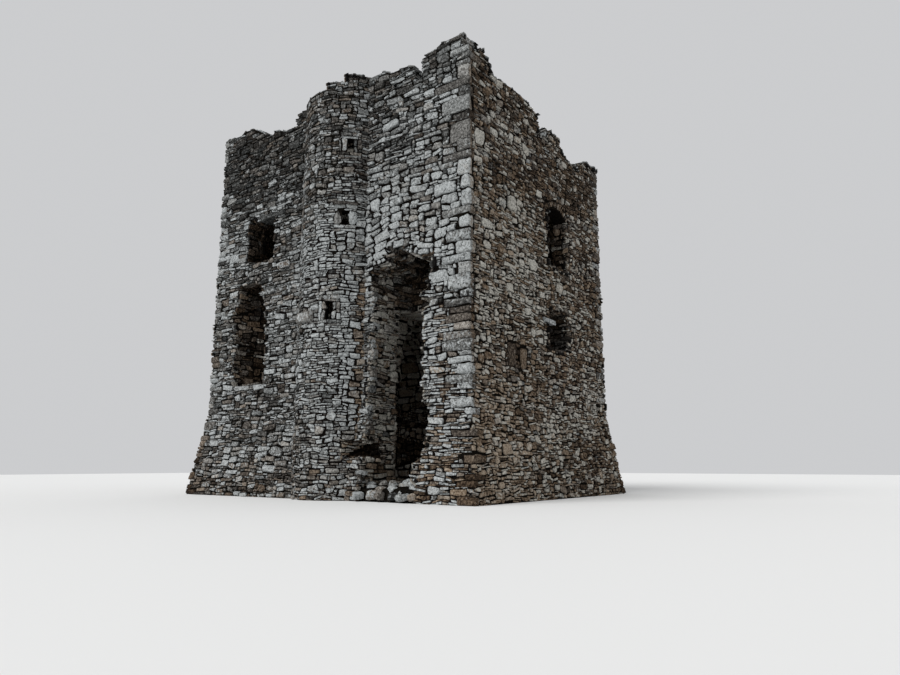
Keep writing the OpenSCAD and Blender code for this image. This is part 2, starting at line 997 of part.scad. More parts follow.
// Parapet of the front wall between the turret and the corner merlon, with the flat
// spout hole that runs through it.
drain_s = 2200;
drain_w = 450;
drain_h = 150;
drain_z = walk_z + 20 * unit;
module front_parapet_right() {
    top = walk_z + front_rise;
    color(front_grey)
        difference() {
            on_front()
                intersection() {
                    block(merlon_front, turret_s, 0, parapet_t, walk_z, top + 4 * unit);
                    ragged_top([
                        [merlon_front + 6 * unit, top - 13 * unit],
                        [merlon_front + 7 * unit, top - 4 * unit],
                        [merlon_front + 12 * unit, top - unit],
                        [merlon_front + 24 * unit, top - unit],
                        [merlon_front + 30 * unit, top + 2 * unit],
                        [turret_right_s, top + 2 * unit]
                    ], walk_z, parapet_t);
                }
            turret_room(walk_z - over, top + 6 * unit);
            on_front()
                block(drain_s, drain_s + drain_w, -over, parapet_t + over, drain_z, drain_z + drain_h);
        }
}

// Tall merlon on the near corner, stepped down towards both walls.
module corner_merlon() {
    top = walk_z + merlon_h;
    color(front_grey) {
        on_front()
            intersection() {
                block(0, merlon_front, 0, parapet_t, walk_z, top);
                ragged_top([
                    [3 * unit, top - 8 * unit], [4 * unit, top], [18 * unit, top],
                    [21 * unit, top - 2 * unit], [27 * unit, top - 3 * unit],
                    [28 * unit, top - 5 * unit]
                ], walk_z, parapet_t);
            }
        on_right()
            intersection() {
                block(parapet_t, merlon_side, 0, parapet_t, walk_z, top);
                ragged_top([
                    [13 * unit, top - 4 * unit], [14 * unit, top - 7 * unit],
                    [merlon_side - unit, top - 8 * unit], [merlon_side, top - 12 * unit]
                ], walk_z, parapet_t);
            }
    }
}

module right_parapet_front() {
    top = walk_z + side_rise;
    color(side_brown)
        on_right()
            intersection() {
                block(merlon_side, step_s, 0, parapet_t, walk_z, top + 4 * unit);
                ragged_top([
                    [merlon_side, top - 2 * unit], [36 * unit, top], [50 * unit, top + unit],
                    [66 * unit, top - unit], [step_s, top - 3 * unit]
                ], walk_z, parapet_t);
            }
}

module right_parapet_back() {
    top = walk_z + worn_rise;
    color(side_brown)
        on_right()
            intersection() {
                block(step_s, keep_d - parapet_t, 0, parapet_t, walk_z, top + 4 * unit);
                ragged_top([
                    [step_s + 9 * unit, top - 7 * unit], [step_s + 10 * unit, top + unit],
                    [103 * unit, top + 2 * unit], [106 * unit, top - 7 * unit],
                    [118 * unit, top - 9 * unit], [128 * unit, top - 10 * unit],
                    [130 * unit, top - 6 * unit], [142 * unit, top]
                ], walk_z, parapet_t);
            }
}

module back_parapet() {
    top = walk_z + back_rise;
    color(side_brown)
        on_back()
            intersection() {
                block(0, keep_w, 0, parapet_t, walk_z, top + 8 * unit);
                ragged_top([
                    [18 * unit, top - 11 * unit], [19 * unit, top - 2 * unit], [52 * unit, top],
                    [54 * unit, top - 10 * unit], [72 * unit, top - 11 * unit],
                    [74 * unit, top - unit], [116 * unit, top + unit], [118 * unit, top - 6 * unit],
                    [140 * unit, top - 7 * unit], [142 * unit, top + unit],
                    [186 * unit, top + 3 * unit], [188 * unit, top + 7 * unit]
                ], walk_z, parapet_t);
            }
}

module left_parapet() {
    top = walk_z + back_rise;
    color(side_brown)
        on_left()
            intersection() {
                block(parapet_t, keep_d - parapet_t, 0, parapet_t, walk_z, top + 8 * unit);
                ragged_top([
                    [20 * unit, top + 7 * unit], [22 * unit, top - unit], [48 * unit, top],
                    [50 * unit, top - 9 * unit], [66 * unit, top - 10 * unit],
                    [68 * unit, top + unit], [104 * unit, top], [106 * unit, top - 8 * unit],
                    [122 * unit, top - 7 * unit], [124 * unit, top + 6 * unit]
                ], walk_z, parapet_t);
            }
}

module hall_window_lintel() {
    color(dressed)
        hall_window_slab();
}

module loft_gap_slab() {
    color(dressed)
        gap_slab();
}

module tall_window_arch() {
    color(dressed)
        on_right()
            arch_stones();
}

module left_window_arch() {
    color(dressed)
        on_left()
            arch_stones();
}

module side_opening_slab() {
    color(dressed)
        on_right()
            hole_slab();
}

// Two jamb stones and a filling that stands back between them.
module blocked_slit() {
    half = filling_w / 2;
    top = blocked_z + 10 * unit;
    color(dressed)
        difference() {
            blocked_block();
            on_right()
                block(blocked_s - half, blocked_s + half, -over, filling_in, blocked_z, top);
        }
}

module back_window_lintel() {
    color(dressed)
        back_lintel();
}

front_wall_ground();
front_wall_loft_left();
front_wall_loft_right();
front_wall_hall();
breach_left_jamb();
corner_pier();
wall_over_breach();
breach_rubble();
stair_turret_ground();
stair_turret_loft();
stair_turret_hall();
stair_turret_top();
low_slit();
middle_slit();
middle_slit_hood();
high_slit();
turret_ledge();
right_wall_ground();
right_wall_loft();
right_wall_hall();
back_wall_ground();
back_wall_loft();
back_wall_hall();
left_wall_ground();
left_wall_loft();
left_wall_hall();
ground_floor();
lower_vault();
upper_vault();
front_parapet_left();
front_parapet_right();
corner_merlon();
right_parapet_front();
right_parapet_back();
back_parapet();
left_parapet();
hall_window_lintel();
loft_gap_slab();
tall_window_arch();
side_opening_slab();
blocked_slit();
left_window_arch();
back_window_lintel();
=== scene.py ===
import math

import bpy
import numpy as np
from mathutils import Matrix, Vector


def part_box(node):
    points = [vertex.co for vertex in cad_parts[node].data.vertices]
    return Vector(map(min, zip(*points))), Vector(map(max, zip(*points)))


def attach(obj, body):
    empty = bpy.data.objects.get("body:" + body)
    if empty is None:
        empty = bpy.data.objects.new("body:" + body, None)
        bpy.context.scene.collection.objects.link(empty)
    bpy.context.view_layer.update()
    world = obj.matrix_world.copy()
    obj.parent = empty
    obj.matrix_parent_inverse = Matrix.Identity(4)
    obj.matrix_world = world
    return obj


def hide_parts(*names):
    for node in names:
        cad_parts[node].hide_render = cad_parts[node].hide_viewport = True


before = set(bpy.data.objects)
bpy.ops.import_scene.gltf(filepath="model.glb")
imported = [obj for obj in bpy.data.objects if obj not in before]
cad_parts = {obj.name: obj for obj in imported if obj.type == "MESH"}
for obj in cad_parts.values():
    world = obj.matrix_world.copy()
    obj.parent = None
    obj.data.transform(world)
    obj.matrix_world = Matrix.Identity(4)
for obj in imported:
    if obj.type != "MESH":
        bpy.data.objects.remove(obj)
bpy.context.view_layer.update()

# Camera: eye height over the foot of the near corner, 16.4 m away from it, looking up
# along the line from which both walls run away to their far corners.
over_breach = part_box("wall_over_breach")
near_x, near_y = over_breach[1][0], over_breach[0][1]
eye = bpy.data.cameras.new("eye")
eye.lens = 27.12
eye.sensor_width = 36
camera = bpy.data.objects.new("camera", eye)
bpy.context.collection.objects.link(camera)
camera.location = (near_x + 9.32, near_y - 13.505, 0.925)
camera.rotation_euler = (math.radians(90 + 10.65), 0, math.radians(36.3))
bpy.context.scene.camera = camera

# Corner stones: longer blocks of the same grey field stone, squared roughly with a
# hammer and laid header and stretcher in turn up all four corners, bonded into both
# walls. They follow the sloping foot, and rubble fills in where one has dropped out.
back_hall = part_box("back_wall_hall")
far_x, back_y = back_hall[0][0], back_hall[1][1]
roof_z = over_breach[1][2]
batter_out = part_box("corner_pier")[1][0] - near_x


def skin():
    """Corners, unit normal, offset and node name of every triangle of the walls."""
    corners, names = [], []
    for name in sorted(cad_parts):
        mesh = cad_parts[name].data
        mesh.calc_loop_triangles()
        points = np.array([vertex.co for vertex in mesh.vertices])
        corners.append(points[np.array([tri.vertices for tri in mesh.loop_triangles])])
        names += [name] * len(corners[-1])
    corners, names = np.concatenate(corners), np.array(names)
    cross = np.cross(corners[:, 1] - corners[:, 0], corners[:, 2] - corners[:, 0])
    size = np.linalg.norm(cross, axis=1)
    real = size > 1e-9
    corners, names, cross, size = corners[real], names[real], cross[real], size[real]
    normal = cross / size[:, None]
    return corners, normal, (corners[:, 0] * normal).sum(axis=1), names, size / 2


tris, normals, offsets, tri_names, tri_sizes = skin()
pier_points = tris[tri_names == "corner_pier"].reshape(-1, 3)
batter_h = pier_points[np.abs(pier_points[:, 0] - near_x) < 0.001, 2].min()


def ripple(u, v, seed, length):
    """A smooth field between about -1 and 1, with swells of about the given length."""
    dice = np.random.default_rng(seed)
    total = 0
    for _ in range(5):
        angle = dice.uniform(0, 2 * math.pi)
        wave = 2 * math.pi / (length * dice.uniform(0.7, 1.6))
        total = total + np.sin(wave * (u * math.cos(angle) + v * math.sin(angle)) + dice.uniform(0, 6.28))
    return total / 2.6


def fade(value, start, run):
    """Rises from 0 at start to 1 over a run, which is negative where it rises downwards."""
    return np.clip((value - start) / run, 0, 1)


def weather_and_depth_shade(points, small, look, dice):
    """Each stone's own tone, how pale lichen has made it and how warm its colour is. The foot of the walls is
    damp and brown, and stones deep in an opening are made darker and browner as painted shade."""
    x, y, z = points.T
    n = len(points)
    drift = ripple(x + 0.7 * y, z, look["seed"] + 5, 2.6)
    foot = look["damp"] * fade(z, 2.2, -2.2)
    # Painted shade: the deeper a stone lies behind the outer faces, below the roof, the darker, less pale and
    # browner it is made.
    deep = np.minimum(np.minimum(near_x - x, x - far_x), np.minimum(y - near_y, back_y - y))
    dim = fade(deep, *look["dim"]) * (z < roof_z - 0.05)
    large = np.clip(small - 0.1, 0, 0.25)
    tone, pale, warm = (
        look[key] + look[key + "_spread"] * dice.normal(0, 1, n) for key in ("tone", "pale", "warm")
    )
    fleck = dice.random(n) < look["flecks"]
    tone = tone + 0.6 * large + 0.05 * drift - 0.05 * foot - 0.35 * dim + 0.14 * fleck
    pale = pale + 0.9 * large + 0.14 * drift - 0.2 * foot - 0.7 * dim + 0.5 * fleck
    warm = warm + 0.4 * foot - 0.1 * drift + 0.3 * dim - 0.5 * fleck
    if look["patches"]:
        more = look["patches"](points)
        tone, pale, warm = tone + more[0], pale + more[1], warm + more[2]
    return np.clip(tone, 0, 1), np.clip(pale, 0, 1), np.clip(warm, 0, 1)


def raise_piece(name, batches, finish, sharp=42):
    """Joins batches of stones in one mesh, smooth on each face and sharp at its arrises."""
    points = np.concatenate([batch[0] for batch in batches])
    keys = np.concatenate([batch[2] for batch in batches])
    faces, start = [], 0
    for some, groups, _ in batches:
        for group in groups:
            faces += (group + start).tolist()
        start += len(some)
    mesh = bpy.data.meshes.new(name)
    mesh.from_pydata(points, [], faces)
    mesh.shade_smooth()
    mesh.set_sharp_from_angle(angle=math.radians(sharp))
    mesh.attributes.new("stone", "FLOAT_COLOR", "POINT").data.foreach_set("color", keys.ravel())
    mesh.materials.append(finish)
    piece = bpy.data.objects.new(name, mesh)
    bpy.context.collection.objects.link(piece)
    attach(piece, "root")
    return piece


def dull_material(name, roughness, gloss):
    """A material, its tree of nodes and its shader."""
    material = bpy.data.materials.new(name)
    material.use_nodes = True
    shader = material.node_tree.nodes["Principled BSDF"]
    shader.inputs["Roughness"].default_value = roughness
    shader.inputs["Specular IOR Level"].default_value = gloss
    return material, material.node_tree, shader


def set_inputs(tree, node, inputs):
    """Puts links, colours or numbers in a node's sockets."""
    for socket, value in inputs.items():
        if isinstance(value, bpy.types.NodeSocket):
            tree.links.new(value, node.inputs[socket])
        else:
            node.inputs[socket].default_value = (*value, 1) if isinstance(value, tuple) else value


def add_node(tree, kind, inputs, **settings):
    """A new node of a kind, with its settings and inputs."""
    node = tree.nodes.new("ShaderNode" + kind)
    for setting, value in settings.items():
        setattr(node, setting, value)
    set_inputs(tree, node, inputs)
    return node


def colour_ramp(tree, value, stops):
    """A colour between stops, each a value and its colour."""
    node = add_node(tree, "ValToRGB", {"Fac": value})
    while len(node.color_ramp.elements) < len(stops):
        node.color_ramp.elements.new(0.5)
    for element, (at, colour) in zip(node.color_ramp.elements, stops):
        element.position = at
        element.color = (*colour, 1)
    return node.outputs["Color"]


GREYS = (
    (0.0, (0.018, 0.0185, 0.018)), (0.3, (0.077, 0.080, 0.078)),
    (0.6, (0.188, 0.195, 0.192)), (1.0, (0.39, 0.405, 0.40)),
)
BROWNS = (
    (0.0, (0.021, 0.014, 0.009)), (0.35, (0.098, 0.068, 0.045)),
    (0.7, (0.225, 0.168, 0.117)), (1.0, (0.36, 0.30, 0.235)),
)
# Near-black: the dirt in the stones' pits, and the painted shade down their sides into the joints.
DIRT_AND_SHADE = (0.006, 0.0055, 0.005)


def paint_stone(name, lichen):
    """Weathered stone: its own tone between two colours, a coarse grain, dark pits, pale lichen in blotches,
    and dirt with painted shade down the stones' sides into the joints, from the values that each stone
    carries."""
    material, tree, shader = dull_material(name, 1.0, 0.08)
    place = add_node(tree, "TexCoord", {}).outputs["Object"]
    key = add_node(tree, "Attribute", {}, attribute_name="stone").outputs
    own = add_node(tree, "SeparateColor", {"Color": key["Color"]}).outputs

    def noise(scale, detail, rough):
        inputs = {"Scale": scale, "Detail": detail, "Roughness": rough, "Vector": place}
        return add_node(tree, "TexNoise", inputs).outputs["Fac"]

    def sums(kind, a, b, clamp=False):
        return add_node(tree, "Math", {0: a, 1: b}, operation=kind, use_clamp=clamp).outputs["Value"]

    def blend(factor, a, b):
        return add_node(tree, "Mix", {"Factor": factor, "A": a, "B": b}, data_type="RGBA").outputs["Result"]

    def step(value, low, high):
        inputs = {"From Min": low, "From Max": high, "Value": value}
        return add_node(tree, "MapRange", inputs).outputs["Result"]

    grain = noise(17, 6, 0.66)
    tone = sums("ADD", own["Red"], sums("MULTIPLY", sums("SUBTRACT", grain, 0.5), 2.5), True)
    body = blend(own["Blue"], colour_ramp(tree, tone, GREYS), colour_ramp(tree, tone, BROWNS))
    spread = sums("MULTIPLY", sums("SUBTRACT", own["Green"], 0.5), 0.42)
    grown = step(sums("ADD", noise(11, 8, 0.74), spread), 0.50, 0.55)
    shaded_lichen = tuple(0.45 * c for c in lichen)
    crust = colour_ramp(tree, grain, ((0.36, shaded_lichen), (0.58, lichen)))
    body = blend(sums("MULTIPLY", grown, 0.85), body, crust)
    pits = step(noise(26, 6, 0.7), 0.37, 0.45)
    body = blend(pits, DIRT_AND_SHADE, body)
    # Painted shade and dirt: each stone's sides are darkened towards its bed in the joint.
    body = blend(key["Alpha"], DIRT_AND_SHADE, body)
    relief = sums("ADD", sums("MULTIPLY", noise(70, 6, 0.7), 0.4), grain)
    bump = add_node(tree, "Bump", {"Strength": 0.9, "Distance": 0.03, "Height": relief})
    set_inputs(tree, shader, {"Base Color": body, "Normal": bump.outputs["Normal"]})
    return material


front_stone = paint_stone("front_stone", (0.49, 0.515, 0.515))
# Rubble where a wall doesn't say otherwise: its joints, how broken, round, chipped and rough
# its stones are, how they turn, sway, stand proud and tilt, how deep they are bedded, how
# many are lost, how ragged a face's edges are, and the stones' tone, paleness and warmth. A
# wall's own functions say where it is coarse, where its beds lean and how patches differ.
RUBBLE = {
    "seed": 11, "joint": 0.011, "broken": 0.30, "round": 0.22, "chip": 0.008, "rough": 0.006, "coarse_cut": 0,
    "turn": 0.055, "sway": 0.026, "proud": 0.055, "tilt": 0.09, "bed": 0.10, "lost": 0.01, "ragged": 0.07,
    "tone": 0.475, "tone_spread": 0.20, "pale": 0.48, "pale_spread": 0.38, "warm": 0.08, "warm_spread": 0.18,
    # The pair after damp: the depth behind the outer faces where painted shade on the stones starts, and the
    # run over which it deepens.
    "flecks": 0, "damp": 1.0, "dim": (0.15, 0.4), "patches": None, "coarse": None, "lean": None, "even": (),
}


def stand_out(z):
    """How far the sloping foot stands out at a height."""
    return batter_out * np.clip(1 - z / batter_h, 0, 1)


# The near corner's courses: the first bed, the tops above it and the lengths on the front.
near_bed = 2.74
near_tops = [
    2.91, 3.13, 3.40, 3.58, 3.70, 4.00, 4.23, 4.43, 4.66, 4.86, 5.07, 5.27, 5.68, 6.00, 6.23,
    6.55, 6.87, 7.24, 7.48, 7.93, 8.31, 8.78, 9.00, 9.31, 9.84, 10.13, 10.56, 10.85, 11.08, 11.46,
]
near_lengths = [
    0.36, 0.76, 0.35, 0.66, 0.29, 0.85, 0.82, 0.44, 0.73, 0.63, 0.79, 0.26, 0.66, 0.38, 0.86,
    0.44, 0.73, 0.34, 0.86, 0.22, 0.25, 0.34, 0.83, 0.34, 0.60, 0.37, 0.87, 0.30, 1.10, 0.33,
]


def corner_stack(near, x, y, dice):
    """Heights and plan lengths of the corner stones of one corner."""
    at = np.hypot(tris[..., 0] - x, tris[..., 1] - y) < 0.1
    top = tris[at][:, 2].max()
    levels = np.concatenate([[0], np.cumsum(dice.uniform(0.10, 0.27, 140))])
    levels = np.append(levels[levels < top - 0.1], top)
    if near:
        over = levels[levels > near_tops[-1] + 0.1]
        levels = np.concatenate([levels[levels < near_bed - 0.08], [near_bed], near_tops, over])
    n = len(levels) - 1
    long, short = dice.uniform(0.28, 0.62, n), dice.uniform(0.15, 0.30, n)
    turn = (np.arange(n) + (dice.random(n) < 0.15)) % 2 == 0
    kept = dice.random(n) > np.where(levels[1:] < 4.5, 0.4, 0.22)
    kept[[0, -1]] = True
    along_x, along_y = np.where(turn, long, short) * kept, np.where(turn, short, long) * kept
    if near:
        first = int(np.argmin(np.abs(levels - near_bed)))
        named = slice(first, first + len(near_tops))
        along_x[named] = near_lengths
        along_y[named] = dice.uniform(0.10, 0.26, len(near_tops))
    return levels, along_x, along_y


corners = []
for number, (x, y) in enumerate(((near_x, near_y), (far_x, near_y), (near_x, back_y), (far_x, back_y))):
    dice = np.random.default_rng(300 + number)
    stack = corner_stack(number == 0, x, y, dice)
    corners.append((x, y, math.copysign(1, x), math.copysign(1, y), *stack))


def off_the_corners(points):
    """True for the cells that no corner stone takes."""
    clear = np.ones(points.shape[:-1], dtype=bool)
    x, y, z = points[..., 0], points[..., 1], points[..., 2]
    for cx, cy, sx, sy, levels, along_x, along_y in corners:
        level = np.clip(np.searchsorted(levels, z) - 1, 0, len(along_x) - 1)
        a = (cx - x) * sx + stand_out(z)
        b = (cy - y) * sy + stand_out(z)
        clear &= ~((a < along_x[level]) & (b < along_y[level]) & (z < levels[-1]) & (a > -0.2) & (b > -0.2))
    return clear


def cut_blocks(low, high, look, dice, place=None):
    """Whole stones as rounded, knocked-about boxes between two corners each, with five
    lines of points across every face. place moves their points to where they lie."""
    n = len(low)
    middle, half = (low + high) / 2, (high - low) / 2
    sign, outer = np.array([-1, -1, 0, 1, 1]), np.array([1, 0, 0, 0, 1])
    last = len(sign) - 1
    grid = np.stack(np.meshgrid(*[np.arange(last + 1)] * 3, indexing="ij"), axis=-1).reshape(-1, 3)
    grid = grid[outer[grid].any(axis=1)]
    number = {tuple(g): i for i, g in enumerate(grid)}
    flags, signs = outer[grid], sign[grid]
    radius = half.min(axis=1)[:, None, None] * dice.uniform(*look["block_round"], (n, 1, 1))
    push = flags * signs / np.maximum(np.linalg.norm(flags * signs, axis=1, keepdims=True), 1)
    points = signs * (half[:, None, :] - radius) + radius * push
    share = (points / half[:, None, :] + 1) / 2
    knock = np.minimum(half, 1.5 * half.min(axis=1, keepdims=True))[:, None, None, None, :]
    knock = look["block_broken"] * knock * np.clip(dice.normal(0, 1, (n, 2, 2, 2, 3)), -1.7, 1.7)
    move = 0
    for end in np.ndindex(2, 2, 2):
        weight = np.where(end, share, 1 - share).prod(axis=-1, keepdims=True)
        move = move + weight * knock[(slice(None), *end)][:, None, :]
    points = points + move + look["rough"] * 1.6 * dice.normal(0, 1, points.shape)
    points = points + middle[:, None, :]
    quads = []
    for axis, far, i, j in np.ndindex(3, 2, last, last):
        ring = []
        for di, dj in ((0, 0), (1, 0), (1, 1), (0, 1)):
            at = [i + di, j + dj]
            at.insert(axis, last * far)
            ring.append(number[tuple(at)])
        facing_out = (axis != 1) == bool(far)
        quads.append(ring if facing_out else ring[::-1])
    quads = (np.arange(n)[:, None, None] * len(grid) + np.array(quads)[None]).reshape(-1, 4)
    if place is not None:
        points = place(points)
    tone, pale, warm = weather_and_depth_shade(points.mean(axis=1), 2 * half.min(axis=1), look, dice)
    key = np.stack([tone, pale, warm, np.ones(n)], axis=1).repeat(len(grid), axis=0)
    return points.reshape(-1, 3), [quads], key


def corner_patches(p):
    """The corner stones are brown and bare low down and between four and five metres, and
    darker near the top."""
    z = p[:, 2]
    low = fade(z, 2.2, -0.6) + fade(z, 4.9, -0.2) * fade(z, 4.0, 0.2)
    top = fade(z, 9.0, 1.6)
    return -0.1 * low - 0.13 * top, -0.4 * low - 0.3 * top, 0.5 * low


CORNER = dict(
    RUBBLE, seed=71, pale=0.38, tone=0.46, warm=0.12, pale_spread=0.2, warm_spread=0.08,
    block_round=(0.3, 0.65), block_broken=0.12, patches=corner_patches,
)
BACK_CORNER = dict(CORNER, pale=0.35, tone=0.44, warm=0.5)
batches = []
for number, (cx, cy, sx, sy, levels, along_x, along_y) in enumerate(corners):
    dice = np.random.default_rng(400 + number)
    n = len(along_x)
    proud = dice.uniform(0.028, 0.06, (n, 2))
    gap = dice.uniform(0.004, 0.014, n)
    near = np.stack([-proud[:, 0], -proud[:, 1], levels[:-1] + gap], axis=1)
    away = np.stack([along_x - gap, along_y - gap, levels[1:] - gap], axis=1)
    kept = along_x > 0

    def to_corner(p):
        z = p[..., 2]
        lean = stand_out(z)
        return np.stack([cx + sx * (lean - p[..., 0]), cy + sy * (lean - p[..., 1]), z], axis=-1)

    look = CORNER if sy < 0 else BACK_CORNER
    points, faces, key = cut_blocks(near[kept], away[kept], look, dice, to_corner)
    if sx * sy > 0:
        faces = [f[:, ::-1] for f in faces]
    if number == 0:
        on_the_side = (points[:, 0] - cx > stand_out(points[:, 2])) & (points[:, 1] - cy > 0.02)
        key[on_the_side, :3] += [-0.06, -0.28, 0.55]
    batches.append((points, faces, np.clip(key, 0, 1)))
raise_piece("corner_stones", batches, front_stone, 50)

# Front wall: random rubble of grey field stones, flat-bedded, split but hardly dressed,
# in lime mortar that has washed back until the joints are deep and dark. Every stone
# is a closed piece laid on the wall's core, and one mesh holds a wall's stones.
loft_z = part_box("lower_vault")[0][2]
hall_z = over_breach[0][2]
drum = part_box("stair_turret_top")
turret_r = (drum[1][0] - drum[0][0]) / 2
turret_x = (drum[0][0] + drum[1][0]) / 2
turret_y = drum[0][1] + turret_r
# A face is set out in square cells of this size. A stone takes at least LEAST_W by LEAST_H
# of them, and one of more than NEVER_LOST cells hasn't dropped out.
CELL = 0.02
LEAST_W, LEAST_H, NEVER_LOST = 3, 2, 40
# The pieces of the openings, which sections of their own build up, are left out of the walls.
dressed_tri = np.isin(tri_names, [
    "low_slit", "middle_slit", "middle_slit_hood", "high_slit", "turret_ledge", "hall_window_lintel",
    "loft_gap_slab", "tall_window_arch", "left_window_arch", "side_opening_slab", "blocked_slit",
    "back_window_lintel", "breach_rubble",
])
middles = tris.mean(axis=1)


def room_boxes():
    """The ground room, the vaulted loft room and the hall, as boxes."""
    floor, vault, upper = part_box("ground_floor"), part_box("lower_vault"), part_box("upper_vault")
    seat = 0.2
    return np.array([
        [[*floor[0][:2], 0], [*floor[1][:2], loft_z]],
        [vault[0], vault[1]],
        [[upper[0][0], upper[0][1] + seat, hall_z], [upper[1][0], upper[1][1] - seat, roof_z]],
    ])


def kinds_of_face():
    """Sorts the triangles by where they face: outer walls, reveals, tops and rooms."""
    out = middles + 0.06 * normals
    kind = np.full(len(tris), "edge", dtype="<U8")
    square_on, skin_depth, touching = 0.9, 0.02, 0.004
    kind[normals[:, 1] < -square_on] = "front"
    kind[normals[:, 0] > square_on] = "right"
    kind[normals[:, 1] > square_on] = "back"
    kind[normals[:, 0] < -square_on] = "left"
    x, y, z = out.T
    within = (x > far_x + skin_depth) & (x < near_x - skin_depth)
    within &= (y > near_y + skin_depth) & (y < back_y - skin_depth)
    covered = within & (z < roof_z)
    kind[covered] = "edge"
    kind[covered & np.isin(tri_names, ["breach_left_jamb", "corner_pier", "wall_over_breach"])] = "breach"
    kind[within & (z > roof_z)] = "parapet"
    up = normals[:, 2] > 0.7
    kind[up & (z > 0.5)] = "top"
    kind[up & within & (z < roof_z - 0.1)] = "edge"
    kind[up & (np.abs(middles[:, 2] - roof_z) < 0.02)] = "floor"
    for low, high in room_boxes():
        inside = ((out > low + 0.01) & (out < high - 0.01)).all(axis=1)
        kind[inside] = "room"
        kind[inside & up] = "floor"
    kind[(normals[:, 2] < -square_on) & (middles[:, 2] < 0.3)] = "none"
    reach = np.hypot(tris[:, :, 0] - turret_x, tris[:, :, 1] - turret_y)
    upright = np.abs(normals[:, 2]) < 0.05
    kind[upright & (np.abs(reach - turret_r).max(axis=1) < touching)] = "turret"
    well = reach[upright & np.char.startswith(tri_names, "stair_turret")].min()
    kind[upright & (np.abs(reach - well).max(axis=1) < touching)] = "well"
    kind[up & (reach.max(axis=1) < well + 0.01)] = "floor"
    slant = (normals[:, 2] < -0.02) & (np.abs(normals[:, 0]) < 0.01) & (np.abs(normals[:, 2]) < 0.9999)
    kind[(tri_names == "lower_vault") & slant] = "soffit"
    kind[(tri_names == "upper_vault") & slant] = "ceiling"
    return kind, well


face_kind, well_r = kinds_of_face()


def grid_over(flat):
    """First corner, rows and columns of a grid of cells over flat triangles."""
    low = np.floor((flat.min(axis=(0, 1)) - 0.08) / CELL) * CELL
    nu, nv = np.ceil((flat.max(axis=(0, 1)) + 0.08 - low) / CELL).astype(int)
    return low, (nv, nu)


def cell_middles(low, shape):
    """Both coordinates of the middle of every cell of a grid."""
    nv, nu = shape
    return np.meshgrid(low[0] + (np.arange(nu) + 0.5) * CELL, low[1] + (np.arange(nv) + 0.5) * CELL)


def cover(flat, low, shape):
    """The cells of a grid that flat triangles cover."""
    grid = np.zeros(shape, dtype=bool)
    u, v = cell_middles(low, shape)
    for triangle in flat:
        a, b, c = triangle
        i0, j0 = np.maximum(np.floor((triangle.min(axis=0) - low) / CELL).astype(int), 0)
        i1, j1 = np.ceil((triangle.max(axis=0) - low) / CELL).astype(int)
        turn = (b[0] - a[0]) * (c[1] - a[1]) - (b[1] - a[1]) * (c[0] - a[0])
        if i1 <= i0 or j1 <= j0 or abs(turn) < 1e-9:
            continue
        box = np.s_[j0:j1, i0:i1]
        inside = np.ones_like(grid[box])
        for p, q in ((a, b), (b, c), (c, a)):
            inside &= ((q[0] - p[0]) * (v[box] - p[1]) - (q[1] - p[1]) * (u[box] - p[0])) * turn >= 0
        grid[box] |= inside
    return grid


def widen(grid, cells):
    """Lets stones reach past an edge on either side, by some cells."""
    wide = grid.copy()
    for k in range(1, cells + 1):
        wide[:, k:] |= grid[:, :-k]
        wide[:, :-k] |= grid[:, k:]
    return wide


